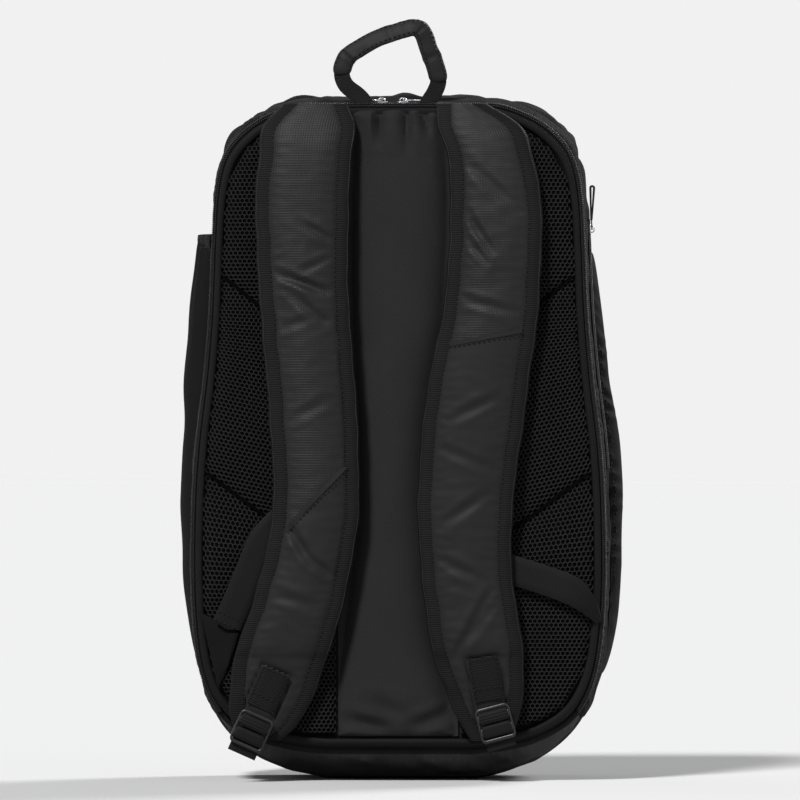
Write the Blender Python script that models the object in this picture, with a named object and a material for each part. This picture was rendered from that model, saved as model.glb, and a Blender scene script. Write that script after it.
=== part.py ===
"""Racket backpack, standing on its base with the harness side towards -Y.

Metres, +Z up. The origin is on the ground under the middle of the bag.
Every panel, pad, strap, buckle and zip slider is a closed object of its own.
"""

import math
from bisect import bisect_left

import bmesh
import bpy
from mathutils import Matrix, Vector

# Clearances and panel thicknesses
GAP = 0.0004
SEAM = 0.0004               # half the gap along a panel seam, as a share of the half outline
WALL = 0.004
WEBBING_THICK = 0.0012
WEBBING_WIDTH = 0.022

# Bag body
BAG_HEIGHT = 0.514
SHELL_HALF_WIDTH = 0.1565
BASE_SEAM_Z = 0.045
SHOULDER_SEAM_Z = 0.470
MOUTH_SEAM_Z = 0.504
HINGE_SEAM_Z = 0.052

# Half of the bag's outline seen from behind (X, Z), bottom centre to top centre
HALF_OUTLINE = (
    (0.000, 0.000), (0.055, 0.000), (0.096, 0.010), (0.122, 0.027), (0.139, 0.049),
    (0.151, 0.086), (0.1565, 0.140), (0.1565, 0.205), (0.1535, 0.255), (0.147, 0.310),
    (0.143, 0.360), (0.141, 0.410), (0.138, 0.452), (0.131, 0.477), (0.117, 0.494),
    (0.098, 0.506), (0.072, 0.514), (0.000, 0.514),
)

# Depth planes, from the harness side to the front
BOARD_BACK_Y = -0.083
BOARD_FRONT_Y = -0.077
RACKET_ZIP_Y = -0.0708
DIVIDER_BACK_Y = -0.035
DIVIDER_FRONT_Y = -0.030
MAIN_ZIP_Y = 0.0582
MAIN_FRONT_Y = 0.065
PANEL_FACE_Y = 0.0745
POCKET_RIM_Y = 0.100
POCKET_FACE_Y = 0.115

# How the section changes with depth: Y, narrowing of the half width, lowest and highest Z
SECTIONS = (
    (BOARD_BACK_Y, 0.004, 0.026, 0.506),
    (DIVIDER_BACK_Y, 0.001, 0.004, 0.513),
    (-0.022, 0.000, 0.000, 0.514),
    (0.045, 0.000, 0.000, 0.514),
    (MAIN_FRONT_Y, 0.004, 0.005, 0.511),
)
LOW_BLEND = 0.120           # height over which a raised lowest edge fades out of the outline

# Steps along the long seams
BASE_STEPS = 14
RACKET_SIDE_STEPS = 14
TAPE_STEPS = 36
FLAP_STEPS = 12
TOP_STEPS = 16
PANEL_STEPS = 40
RING_STEPS = 56

# Back pads
BINDING_RADIUS = 0.0025
BINDING_INSET = 0.0032
BINDING_SIDES = 6
PAD_INSET = 0.0075
PAD_LOW_Z = 0.0355
PAD_HIGH_Z = 0.496
PAD_EDGE = 0.0040
PAD_CROWN = 0.0068
PAD_ROWS = 14
PAD_COLUMNS = 8
CHANNEL_DEPTH = 0.0040
CHANNEL_HALF_WIDTH = 0.014  # as a share of the pad's height
CHANNEL_CLEAR = 0.022       # no plain row of points is nearer to a channel than this share
CHANNELS = (0.35, 0.67)     # heights of the quilted channels, as shares of the pad's height
CHANNEL_CLIMB = 0.080       # how much higher a channel is at the outer edge than at the spine
SPINE_PAD_SPACE = 0.004

# Spine pad: half width at heights along it
SPINE_SHAPE = (
    (0.036, 0.0450), (0.120, 0.0450), (0.290, 0.0440), (0.430, 0.0440), (0.500, 0.0420),
)

# Shoulder straps: height, left edge and right edge, from the top seam to the lower end
LEFT_STRAP = (
    (0.5085, -0.0847, -0.0383), (0.492, -0.0997, -0.0331), (0.473, -0.1027, -0.0346),
    (0.436, -0.1057, -0.0367), (0.361, -0.1025, -0.0367), (0.286, -0.0961, -0.0312),
    (0.211, -0.0923, -0.0290), (0.173, -0.0977, -0.0331), (0.136, -0.1073, -0.0406),
    (0.098, -0.1200, -0.0518), (0.061, -0.1253, -0.0653), (0.042, -0.1223, -0.0773),
    (0.031, -0.1147, -0.0897),
)
RIGHT_STRAP = (
    (0.5085, 0.0299, 0.0653), (0.492, 0.0307, 0.0903), (0.473, 0.0373, 0.0993),
    (0.436, 0.0403, 0.1068), (0.361, 0.0359, 0.1053), (0.286, 0.0217, 0.0959),
    (0.211, 0.0157, 0.0862), (0.173, 0.0172, 0.0847), (0.136, 0.0209, 0.0877),
    (0.098, 0.0269, 0.0937), (0.061, 0.0397, 0.0927), (0.042, 0.0493, 0.0873),
    (0.031, 0.0563, 0.0833),
)
STRAP_THICK = 0.0115
# Height, Y of the strap's inner face and share of the full thickness
STRAP_LIE = (
    (0.031, -0.0985, 0.45), (0.050, -0.0992, 0.50), (0.090, -0.1012, 0.80),
    (0.130, -0.1035, 1.00), (0.440, -0.1035, 1.00), (0.470, -0.1000, 0.90),
    (0.495, -0.0930, 0.65), (0.5085, -0.0895, 0.55),
)
# Strap section: share across, share of the thickness outwards
STRAP_SECTION = (
    (0.00, 0.00), (0.00, 0.35), (0.13, 0.83), (0.32, 0.96), (0.50, 1.00),
    (0.68, 0.96), (0.87, 0.83), (1.00, 0.35), (1.00, 0.00), (0.50, 0.00),
)
STRAP_HINGE = Vector((0.0, -0.0895, 0.5085))

# Ladder locks: centre (X, Y, Z), tilt about Y in degrees, and the tab's two ends (X, Z)
LADDER_LOCKS = {
    "left": (Vector((-0.1091, -0.1095, 0.0385)), 24.0, (-0.0905, 0.0830), (-0.1026, 0.0557)),
    "right": (Vector((0.0734, -0.1095, 0.0443)), -15.0, (0.0637, 0.0930), (0.0690, 0.0615)),
}
LOCK_WIDTH = 0.0266
LOCK_RAIL = 0.0019
LOCK_THICK = 0.0032
# Heights across the ladder lock, from its bottom edge: bars and slots in turn
LOCK_LEVELS = (-0.0135, -0.0105, -0.0081, -0.0016, 0.0024, 0.0084, 0.0108, 0.0135)
LOCK_PIVOT_STEP = 0.0010    # height of the ladder lock's pivot above its top edge
LOOP_CLEARANCE = 0.0003
TAIL_END = -0.0195          # end of the webbing tail, from the ladder lock's centre

# Adjuster webbing: points from the side seam to behind the strap
ADJUSTERS = {
    "left": ((-0.1290, -0.1003, 0.1150), (-0.1145, -0.1003, 0.1480),
             (-0.1006, -0.1000, 0.1808), (-0.0833, -0.0990, 0.1995)),
    "right": ((0.1405, -0.0990, 0.1345), (0.1310, -0.1010, 0.1430),
              (0.1114, -0.1005, 0.1508), (0.0889, -0.1000, 0.1579), (0.0626, -0.0990, 0.1660)),
}
# Fabric wings at the side seam: corners, all on the wing's inner face
WINGS = {
    "left": ((-0.1478, -0.0895, 0.1268), (-0.1190, -0.0975, 0.1118),
             (-0.1265, -0.0945, 0.0860), (-0.1350, -0.0895, 0.0700)),
    "right": ((0.1485, -0.0895, 0.1380), (0.1330, -0.0960, 0.1310),
              (0.1350, -0.0945, 0.1060), (0.1400, -0.0895, 0.0800)),
}
WING_THICK = 0.0022

# Haul handle: centre line (X, Z), and how far the band leans over at its top
HANDLE_PATH = (
    (-0.0240, 0.5089), (-0.0300, 0.5150), (-0.0385, 0.5222), (-0.0420, 0.5310),
    (-0.0400, 0.5405), (-0.0320, 0.5490), (-0.0190, 0.5565), (-0.0015, 0.5625),
    (0.0120, 0.5650), (0.0205, 0.5605), (0.0260, 0.5490), (0.0310, 0.5370),
    (0.0325, 0.5260), (0.0275, 0.5165), (0.0215, 0.5089),
)
HANDLE_Y = -0.0806
HANDLE_LEAN = math.radians(30)
HANDLE_STEPS = 2            # steps along each span of the path
HANDLE_WEBBING_WIDTH = 0.0122
SLEEVE_WIDTH = 0.0165
SLEEVE_THICK = 0.0050
SLEEVE_WALL = 0.0013
SLEEVE_SPAN = (3, 12)       # first and last point of the path that the sleeve covers

# Side pockets
POCKET_BACK_Y = -0.018
POCKET_FRONT_Y = 0.0445
SIDE_STEPS = 12             # steps of the side wall from base seam to shoulder seam
POCKET_STEPS = (1, 10)      # the steps that the pocket's foot and top lie on
POCKET_COLUMNS = 8
POCKET_SHEET = 0.0024
SIDE_BULGE = 0.0092
# Bulge of the left pocket, which sags open: share of the pocket's height, bulge
LEFT_POCKET_BULGE = (
    (0.0, 0.0), (0.15, 0.0045), (0.30, 0.0068), (0.42, 0.0092), (0.58, 0.0105),
    (0.70, 0.0150), (0.90, 0.0145), (1.0, 0.0115),
)
MOUTH_DRAW = 0.15           # how much a pocket's open mouth is drawn in, as a share of its bulge
FOOT_RISE = 0.35            # share of a pocket's height over which it reaches its full bulge

# Laptop sleeve
SLEEVE_HALF_WIDTH = 0.100
SLEEVE_LOW_Z = 0.032
SLEEVE_HIGH_Z = 0.335
SLEEVE_BULGE = 0.0120
SLEEVE_ROWS = 6
SLEEVE_COLUMNS = 10

# Base stiffener, on the floor of the main compartment
STIFFENER_HALF_WIDTH = 0.040
STIFFENER_THICK = 0.002
STIFFENER_DEPTH = (-0.014, 0.044)

# Front panel and the apron under it: Y and how far in from the bag's edge, from back to face
FRONT_BACK_Y = MAIN_FRONT_Y + GAP / 2
APRON_SHAPE = ((FRONT_BACK_Y, 0.0), (0.0682, 0.0010), (0.0697, 0.0030))
PANEL_HINGE_Y = 0.0702
PANEL_SHAPE = ((FRONT_BACK_Y, 0.0), (PANEL_HINGE_Y, 0.0015), (0.0728, 0.0060),
               (PANEL_FACE_Y, 0.0140))

# Front pocket
FRONT_POCKET_LOW_Z = 0.078
FRONT_POCKET_HIGH_Z = 0.335
FRONT_POCKET_HALF_LOW = 0.098
FRONT_POCKET_HALF_HIGH = 0.086
FRONT_POCKET_RADIUS = 0.030
FRONT_POCKET_WALL = 0.003
COVER_HINGE_Y = 0.102
COVER_SHAPE = ((POCKET_RIM_Y, 0.0), (0.1045, 0.0005), (0.1095, 0.0060), (0.1130, 0.0140),
               (POCKET_FACE_Y, 0.0280))

# Zip sliders: section lines along the zip, above the tape and across
SLIDER_LENGTHS = (-0.0042, -0.0026, -0.0014, 0.0014, 0.0026, 0.0042)
SLIDER_LEVELS = (0.0, 0.0024, 0.0042, 0.0053)
SLIDER_HALF_WIDTH = 0.0025
PULL_LENGTHS = (-0.00055, 0.00055, 0.0055, 0.0220)
PULL_WIDTHS = (-0.0036, -0.0028, 0.0028, 0.0036)
PULL_LEVELS = (0.0028, 0.0038)
RACKET_SLIDERS_X = (-0.0125, 0.0035)
MAIN_SLIDERS_X = (0.0200, 0.0360)
POCKET_SLIDER_X = -0.0450
SIDE_SLIDER_Y = -0.0238
SIDE_SLIDER_Z = 0.4150
SIDE_SLIDER_RUN = 0.1000
SIDE_SLIDER_STEP = 0.0010   # height of the side slider above the curved wall

# Colour, roughness, metallic
FINISHES = {
    "ripstop": ((0.018, 0.018, 0.020), 0.62, 0.0),
    "polyester": ((0.016, 0.016, 0.017), 0.72, 0.0),
    "mesh": ((0.014, 0.014, 0.015), 0.85, 0.0),
    "soft": ((0.020, 0.019, 0.019), 0.95, 0.0),
    "binding": ((0.015, 0.015, 0.016), 0.80, 0.0),
    "webbing": ((0.014, 0.014, 0.015), 0.70, 0.0),
    "lining": ((0.030, 0.030, 0.033), 0.80, 0.0),
    "board": ((0.025, 0.025, 0.026), 0.60, 0.0),
    "zip": ((0.012, 0.012, 0.013), 0.55, 0.0),
    "plastic": ((0.022, 0.022, 0.024), 0.30, 0.0),
    "metal": ((0.42, 0.42, 0.44), 0.25, 1.0),
}


def smooth_path(points, steps):
    """Points on a smooth curve through the given points, with so many steps a span."""
    knots = [Vector(point) for point in points]
    gaps = [(b - a).length for a, b in zip(knots, knots[1:])]
    last = len(knots) - 1
    slopes = []
    for i in range(len(knots)):
        before = max(i - 1, 0)
        after = min(i + 1, last)
        slopes.append((knots[after] - knots[before]) / sum(gaps[before:after]))
    path = []
    for i, gap in enumerate(gaps):
        for k in range(steps):
            t = k / steps
            path.append(
                knots[i] * (2 * t**3 - 3 * t**2 + 1)
                + slopes[i] * gap * (t**3 - 2 * t**2 + t)
                + knots[i + 1] * (3 * t**2 - 2 * t**3)
                + slopes[i + 1] * gap * (t**3 - t**2)
            )
    path.append(knots[-1])
    return path


def read_between(table, key, column):
    """Value in a column of a table whose first column rises, at a key between its rows."""
    keys = [row[0] for row in table]
    i = min(max(bisect_left(keys, key), 1), len(keys) - 1)
    share = (key - keys[i - 1]) / (keys[i] - keys[i - 1])
    share = min(max(share, 0.0), 1.0)
    return table[i - 1][column] * (1 - share) + table[i][column] * share


def outline_table():
    """Rows of (share of the half outline's length, X, Z), from bottom to top centre."""
    points = smooth_path(HALF_OUTLINE, 8)
    points = [Vector((p.x, min(max(p.y, 0.0), BAG_HEIGHT))) for p in points]
    travel = [0.0]
    for a, b in zip(points, points[1:]):
        travel.append(travel[-1] + (b - a).length)
    return [(t / travel[-1], p.x, p.y) for t, p in zip(travel, points)]


OUTLINE = outline_table()


def outline_at(share):
    """X and Z of the outline. 0 is the bottom centre, 1 the top centre, -1 and 2 go left."""
    side = 1.0 if 0.0 <= share <= 1.0 else -1.0
    share = abs(share)
    if share > 1.0:
        share = 2.0 - share
    return side * read_between(OUTLINE, share, 1), read_between(OUTLINE, share, 2)


def seam_at(height):
    """Share of the half outline at which it reaches a height."""
    return read_between([(z, share) for share, x, z in OUTLINE], height, 1)


def shell_point(share, y, depth=0.0):
    """Point of the bag's shell at an outline share and depth plane, so deep under its face."""
    x, z = outline_at(share)
    narrow = read_between(SECTIONS, y, 1) + depth
    low = read_between(SECTIONS, y, 2)
    high = read_between(SECTIONS, y, 3)
    height = z * high / BAG_HEIGHT
    height += low * max(1 - z / LOW_BLEND, 0.0) ** 2
    height += depth * (1 - 2 * z / BAG_HEIGHT)
    return Vector((x * (1 - narrow / SHELL_HALF_WIDTH), y, height))


def half_width_at(height, y, depth=0.0):
    """Half width of the bag's shell at a height and depth plane."""
    points = [shell_point(row[0], y, depth) for row in OUTLINE]
    return read_between([(point.z, point.x) for point in points], height, 1)


def between(start, end, count):
    """Evenly spaced values from start to end, so many steps."""
    return [start + (end - start) * i / count for i in range(count + 1)]


def skin(rings, wrap=False):
    """Closed body through rings of points: wrapped into a loop, or with flat ends."""
    bm = bmesh.new()
    loops = [[bm.verts.new(point) for point in ring] for ring in rings]
    pairs = list(zip(loops, loops[1:]))
    if wrap:
        pairs.append((loops[-1], loops[0]))
    else:
        bm.faces.new(loops[0])
        bm.faces.new(loops[-1])
    for one, other in pairs:
        for i in range(len(one)):
            bm.faces.new((one[i - 1], one[i], other[i], other[i - 1]))
    return bm


def sheet(face, back):
    """Closed body between two grids of points of the same size."""
    bm = bmesh.new()
    grids = [[[bm.verts.new(point) for point in row] for row in grid] for grid in (face, back)]
    rows = len(face)
    columns = len(face[0])
    for grid in grids:
        for i in range(rows - 1):
            for j in range(columns - 1):
                bm.faces.new((grid[i][j], grid[i + 1][j], grid[i + 1][j + 1], grid[i][j + 1]))
    rim = [(i, 0) for i in range(rows)]
    rim += [(rows - 1, j) for j in range(1, columns)]
    rim += [(i, columns - 1) for i in range(rows - 2, -1, -1)]
    rim += [(0, j) for j in range(columns - 2, 0, -1)]
    for (a, b), (c, d) in zip(rim, rim[1:] + rim[:1]):
        bm.faces.new((grids[0][a][b], grids[0][c][d], grids[1][c][d], grids[1][a][b]))
    return bm


def band_rings(path, across, width, thick):
    """Rings of four corners along a path, with the direction across given at each point."""
    rings = []
    for i, point in enumerate(path):
        run = path[min(i + 1, len(path) - 1)] - path[max(i - 1, 0)]
        side = across[i].normalized() * width / 2
        up = run.cross(across[i]).normalized() * thick / 2
        rings.append([point + side + up, point - side + up, point - side - up, point + side - up])
    return rings


def ribbon(path, across, width, thick):
    """Flat band along a path."""
    return skin(band_rings(path, across, width, thick))


def cells(columns, rows, filled, low, high):
    """Plate of grid cells in X and Z, from Y low to high, with the unfilled cells left out."""
    bm = bmesh.new()
    corners = {}

    def corner(i, j, y):
        if (i, j, y) not in corners:
            corners[i, j, y] = bm.verts.new((columns[i], y, rows[j]))
        return corners[i, j, y]

    for i, j in filled:
        ring = [(i, j), (i + 1, j), (i + 1, j + 1), (i, j + 1)]
        for y in (low, high):
            bm.faces.new([corner(a, b, y) for a, b in ring])
        beside = [(i, j - 1), (i + 1, j), (i, j + 1), (i - 1, j)]
        for k, neighbour in enumerate(beside):
            if neighbour not in filled:
                a, b = ring[k], ring[(k + 1) % 4]
                bm.faces.new((corner(*a, low), corner(*b, low), corner(*b, high), corner(*a, high)))
    return bm


def add_piece(name, bm, finish, pivot=None, place=None):
    """Make the named object from its mesh, with its origin on its pivot."""
    if place is not None:
        bm.transform(place)
    bmesh.ops.recalc_face_normals(bm, faces=bm.faces)
    mesh = bpy.data.meshes.new(name)
    bm.to_mesh(mesh)
    bm.free()
    mesh.shade_smooth()
    mesh.set_sharp_from_angle(angle=math.radians(40))
    piece = bpy.data.objects.new(name, mesh)
    if pivot is not None:
        mesh.transform(Matrix.Translation(-pivot))
        piece.location = pivot
    colour, roughness, metallic = FINISHES[finish]
    material = bpy.data.materials.new(name)
    material.use_nodes = True
    shader = material.node_tree.nodes["Principled BSDF"]
    shader.inputs["Base Color"].default_value = (*colour, 1.0)
    shader.inputs["Roughness"].default_value = roughness
    shader.inputs["Metallic"].default_value = metallic
    mesh.materials.append(material)
    bpy.context.collection.objects.link(piece)
    return piece


def gusset(name, start, end, steps, back, front, finish, pivot=None):
    """Strip of the bag's wall between two outline shares and two depth planes."""
    planes = [back] + [row[0] for row in SECTIONS if back < row[0] < front] + [front]
    shares = between(start, end, steps)
    face = [[shell_point(share, y) for y in planes] for share in shares]
    lining = [[shell_point(share, y, WALL) for y in planes] for share in shares]
    return add_piece(name, sheet(face, lining), finish, pivot)


def shell_ring(y, depth=0.0):
    """Closed ring round the bag's outline in one depth plane."""
    return [shell_point(share, y, depth) for share in between(-1, 1, RING_STEPS)[:-1]]


def make_racket_compartment():
    base = seam_at(BASE_SEAM_Z)
    mouth = seam_at(MOUTH_SEAM_Z)
    behind = BOARD_FRONT_Y + GAP
    ahead = DIVIDER_BACK_Y - GAP
    edge = RACKET_ZIP_Y + GAP
    gusset("racket_gusset_base", -base + SEAM, base - SEAM, BASE_STEPS, behind, ahead, "polyester")
    sides = (("right", base + SEAM, mouth - SEAM), ("left", -mouth + SEAM, -base - SEAM))
    for side, start, end in sides:
        gusset(f"racket_gusset_{side}", start, end, RACKET_SIDE_STEPS, edge, ahead, "ripstop")
    tape_edge = RACKET_ZIP_Y - GAP
    gusset("racket_zip_tape", base + SEAM, 2 - base - SEAM, TAPE_STEPS, behind, tape_edge, "zip")
    hinge = Vector((0.0, ahead, shell_point(1.0, ahead).z))
    flap = (mouth + SEAM, 2 - mouth - SEAM)
    gusset("racket_flap", *flap, FLAP_STEPS, edge, ahead, "ripstop", hinge)


def make_back_panel():
    rings = [shell_ring(BOARD_BACK_Y), shell_ring(BOARD_FRONT_Y)]
    add_piece("back_board", skin(rings), "board")
    centre_y = BOARD_BACK_Y - GAP - BINDING_RADIUS
    loops = []
    for k in range(BINDING_SIDES):
        turn = 2 * math.pi * k / BINDING_SIDES
        inset = BINDING_INSET + BINDING_RADIUS * math.sin(turn)
        lift = BINDING_RADIUS * math.cos(turn)
        loop = shell_ring(BOARD_BACK_Y, inset)
        loops.append([Vector((p.x, centre_y + lift, p.z)) for p in loop])
    add_piece("back_binding", skin(loops, wrap=True), "binding")


def spine_half_width(height):
    return read_between(SPINE_SHAPE, height, 1)


def pad_rows(channels):
    """Heights of the pad's rows as shares, closer at its ends, with three at each channel."""
    rows = {(1 - math.cos(turn)) / 2 for turn in between(0.0, math.pi, PAD_ROWS)}
    for channel in channels:
        rows = {row for row in rows if abs(row - channel) > CHANNEL_CLEAR}
        rows.update((channel - CHANNEL_HALF_WIDTH, channel, channel + CHANNEL_HALF_WIDTH))
    return sorted(rows)


def make_pad(name, inner_edge, outer_edge, channels, climb, finish):
    """Crowned pad on the back board between two edges, with quilted channels."""
    face = []
    back = []
    flat = BOARD_BACK_Y - GAP
    for row in pad_rows(channels):
        face.append([])
        back.append([])
        for share in between(0.0, 1.0, PAD_COLUMNS):
            z = PAD_LOW_Z + (PAD_HIGH_Z - PAD_LOW_Z) * row
            z += climb * math.sin(math.pi * row) * (share - 0.5)
            x = inner_edge(z) + (outer_edge(z) - inner_edge(z)) * share
            crown = (1 - abs(2 * share - 1) ** 4) * (1 - abs(2 * row - 1) ** 10)
            thick = PAD_EDGE + PAD_CROWN * crown
            if row in channels:
                thick -= CHANNEL_DEPTH * crown
            face[-1].append(Vector((x, flat - thick, z)))
            back[-1].append(Vector((x, flat, z)))
    return add_piece(name, sheet(face, back), finish)


def make_pads():
    for side, sign in (("left", -1.0), ("right", 1.0)):
        make_pad(
            f"mesh_pad_{side}",
            lambda z: sign * (spine_half_width(z) + SPINE_PAD_SPACE),
            lambda z: sign * half_width_at(z, BOARD_BACK_Y, PAD_INSET),
            CHANNELS, CHANNEL_CLIMB, "mesh",
        )
    make_pad("spine_pad", lambda z: -spine_half_width(z), spine_half_width, (), 0.0, "soft")


def pouch(name, surface, bulge, rows, columns, sheet_thick, normal, finish, pivot=None):
    """Sheet that stands off a surface by a bulge, given over shares up and across."""
    face = []
    back = []
    for up in between(0.0, 1.0, rows):
        lift = [normal * (GAP + bulge(up, across)) for across in between(0.0, 1.0, columns)]
        foot = [surface(up, across) for across in between(0.0, 1.0, columns)]
        back.append([a + b for a, b in zip(foot, lift)])
        face.append([point + normal * sheet_thick for point in back[-1]])
    return add_piece(name, sheet(face, back), finish, pivot)


def open_top(up, across):
    """Share of the bulge of a pocket that is sewn at its foot and sides and open at its top."""
    rise = math.sin(math.pi / 2 * min(up / FOOT_RISE, 1.0))
    return rise * (1 - MOUTH_DRAW * up**4) * bow(across)


def left_pocket_bulge(up, across):
    return read_between(LEFT_POCKET_BULGE, up, 1) * bow(across)


def right_pocket_bulge(up, across):
    """Bulge of the right pocket, which is sewn or zipped all round."""
    return SIDE_BULGE * math.sqrt(math.sin(math.pi * up)) * bow(across)


def bow(across):
    return 1 - abs(2 * across - 1) ** 3


def side_share(step):
    """Outline share at a step of the side wall, between the base and shoulder seams."""
    start = seam_at(BASE_SEAM_Z) + SEAM
    end = seam_at(SHOULDER_SEAM_Z) - SEAM
    return start + (end - start) * step / SIDE_STEPS


def make_side_pockets():
    foot, top = POCKET_STEPS
    for side, sign, bulge in (("left", -1.0, left_pocket_bulge), ("right", 1.0, right_pocket_bulge)):

        def surface(up, across):
            y = POCKET_BACK_Y + (POCKET_FRONT_Y - POCKET_BACK_Y) * across
            point = shell_point(side_share(foot + (top - foot) * up), y)
            return Vector((sign * point.x, y, point.z))

        hinge = None
        if side == "right":
            hinge = surface(0.5, 1.0) + Vector((POCKET_SHEET + GAP, 0.0, 0.0))
        pouch(
            f"side_pocket_{side}", surface, bulge, top - foot, POCKET_COLUMNS, POCKET_SHEET,
            Vector((sign, 0.0, 0.0)), "polyester", hinge,
        )


def make_main_compartment():
    base = seam_at(BASE_SEAM_Z)
    shoulder = seam_at(SHOULDER_SEAM_Z)
    low = side_share(0)
    high = side_share(SIDE_STEPS)
    behind = DIVIDER_FRONT_Y + GAP
    ahead = MAIN_ZIP_Y - GAP
    rings = [shell_ring(DIVIDER_BACK_Y), shell_ring(DIVIDER_FRONT_Y)]
    add_piece("padded_divider", skin(rings), "lining")
    front = MAIN_FRONT_Y - GAP
    gusset("base_panel", -base + SEAM, base - SEAM, BASE_STEPS, behind, front, "polyester")
    gusset("main_gusset_right", low, high, SIDE_STEPS, behind, ahead, "polyester")
    gusset("main_gusset_left", -high, -low, SIDE_STEPS, behind, ahead, "polyester")
    top = (shoulder + SEAM, 2 - shoulder - SEAM)
    gusset("main_gusset_top", *top, TOP_STEPS, behind, ahead, "ripstop")
    tape = (base + SEAM, 2 - base - SEAM)
    gusset("main_zip_tape", *tape, TAPE_STEPS, MAIN_ZIP_Y, front, "zip")

    def on_divider(up, across):
        z = SLEEVE_LOW_Z + (SLEEVE_HIGH_Z - SLEEVE_LOW_Z) * up
        return Vector((SLEEVE_HALF_WIDTH * (2 * across - 1), DIVIDER_FRONT_Y, z))

    pouch(
        "laptop_sleeve", on_divider, lambda up, across: SLEEVE_BULGE * open_top(up, across),
        SLEEVE_ROWS, SLEEVE_COLUMNS, POCKET_SHEET, Vector((0.0, 1.0, 0.0)), "lining",
    )
    floor_z = WALL + GAP
    half = STIFFENER_HALF_WIDTH
    board = cells((-half, half), (floor_z, floor_z + STIFFENER_THICK), [(0, 0)], *STIFFENER_DEPTH)
    add_piece("base_stiffener", board, "board")


def front_ring(y, start, end, depth, count, floor=None):
    """Part of the front outline, closed by a straight edge, so far in from the bag's edge."""
    ring = []
    for share in between(start, end, count):
        point = shell_point(share, MAIN_FRONT_Y, depth)
        ring.append(Vector((point.x, y, point.z if floor is None else max(point.z, floor))))
    return ring


def rounded_ring(y, inset):
    """Ring round the front pocket, narrower at its top, with round corners."""
    low = FRONT_POCKET_LOW_Z + inset
    high = FRONT_POCKET_HIGH_Z - inset
    radius = FRONT_POCKET_RADIUS
    ring = []
    corners = (
        (FRONT_POCKET_HALF_LOW, low, -90), (FRONT_POCKET_HALF_HIGH, high, 0),
        (-FRONT_POCKET_HALF_HIGH, high, 90), (-FRONT_POCKET_HALF_LOW, low, 180),
    )
    for half, edge_z, start in corners:
        side = math.copysign(1.0, half)
        centre_x = half - side * (inset + radius)
        centre_z = edge_z + (radius if edge_z == low else -radius)
        for angle in between(start, start + 90, 4):
            turn = math.radians(angle)
            ring.append(Vector((centre_x + radius * math.cos(turn), y,
                                centre_z + radius * math.sin(turn))))
    return ring


def make_front():
    hinge_share = seam_at(HINGE_SEAM_Z)
    low_edge = hinge_share - SEAM
    ceiling = shell_point(low_edge, MAIN_FRONT_Y).z
    apron = [front_ring(y, -low_edge, low_edge, depth, BASE_STEPS) for y, depth in APRON_SHAPE]
    for ring in apron:
        for point in ring:
            point.z = min(point.z, ceiling)
    add_piece("front_apron", skin(apron), "polyester")
    high_edge = hinge_share + SEAM
    floor = shell_point(high_edge, MAIN_FRONT_Y).z
    hinge = Vector((0.0, PANEL_HINGE_Y, floor - GAP / 2))
    panel = [
        front_ring(y, high_edge, 2 - high_edge, depth, PANEL_STEPS, floor)
        for y, depth in PANEL_SHAPE
    ]
    add_piece("front_panel", skin(panel), "ripstop", hinge)
    gusset_back = PANEL_FACE_Y + GAP
    gusset_front = POCKET_RIM_Y - GAP
    wall = FRONT_POCKET_WALL
    loops = [
        rounded_ring(gusset_back, 0.0), rounded_ring(gusset_front, 0.0),
        rounded_ring(gusset_front, wall), rounded_ring(gusset_back, wall),
    ]
    add_piece("front_pocket_gusset", skin(loops, wrap=True), "polyester", hinge)
    cover_hinge = Vector((0.0, COVER_HINGE_Y, FRONT_POCKET_LOW_Z - GAP / 2))
    cover = [rounded_ring(y, inset) for y, inset in COVER_SHAPE]
    add_piece("front_pocket_cover", skin(cover), "ripstop", cover_hinge)


def strap_inner_y(height):
    return read_between(STRAP_LIE, height, 1)


def strap_thickness(height):
    return STRAP_THICK * read_between(STRAP_LIE, height, 2)


def make_strap(side, stations):
    rings = []
    for z, left, right in smooth_path(stations, 2):
        inner = strap_inner_y(z)
        thick = strap_thickness(z)
        rings.append([
            Vector((left + (right - left) * across, inner - thick * out, z))
            for across, out in STRAP_SECTION
        ])
    pivot = Vector(((stations[0][1] + stations[0][2]) / 2, STRAP_HINGE.y, STRAP_HINGE.z))
    add_piece(f"shoulder_strap_{side}", skin(rings), "ripstop", pivot)
    return pivot


def make_strap_tab(side, pivot, top, bottom):
    """Webbing tab sewn on the strap's face, ending just above the ladder lock."""
    path = []
    for share in between(0.0, 1.0, 5):
        x = top[0] + (bottom[0] - top[0]) * share
        z = top[1] + (bottom[1] - top[1]) * share
        y = strap_inner_y(z) - strap_thickness(z) - GAP - WEBBING_THICK / 2
        path.append(Vector((x, y, z)))
    run = path[-1] - path[0]
    across = [Vector((-run.z, 0.0, run.x))] * len(path)
    band = ribbon(path, across, WEBBING_WIDTH, WEBBING_THICK)
    add_piece(f"strap_tab_{side}", band, "webbing", pivot)


def make_webbing_run(side, pivot, centre, end):
    """Stretch of adjuster webbing that lies behind the strap, down to the ladder lock."""
    path = []
    for share in between(0.0, 1.0, 6):
        x = centre.x + (end[0] - centre.x) * share
        z = centre.z + (end[2] - centre.z) * share
        y = strap_inner_y(z) + GAP + WEBBING_THICK / 2
        path.append(Vector((x, y, z)))
    run = path[-1] - path[0]
    across = [Vector((-run.z, 0.0, run.x))] * len(path)
    band = ribbon(path, across, WEBBING_WIDTH, WEBBING_THICK)
    add_piece(f"webbing_run_{side}", band, "webbing", pivot)


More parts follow.
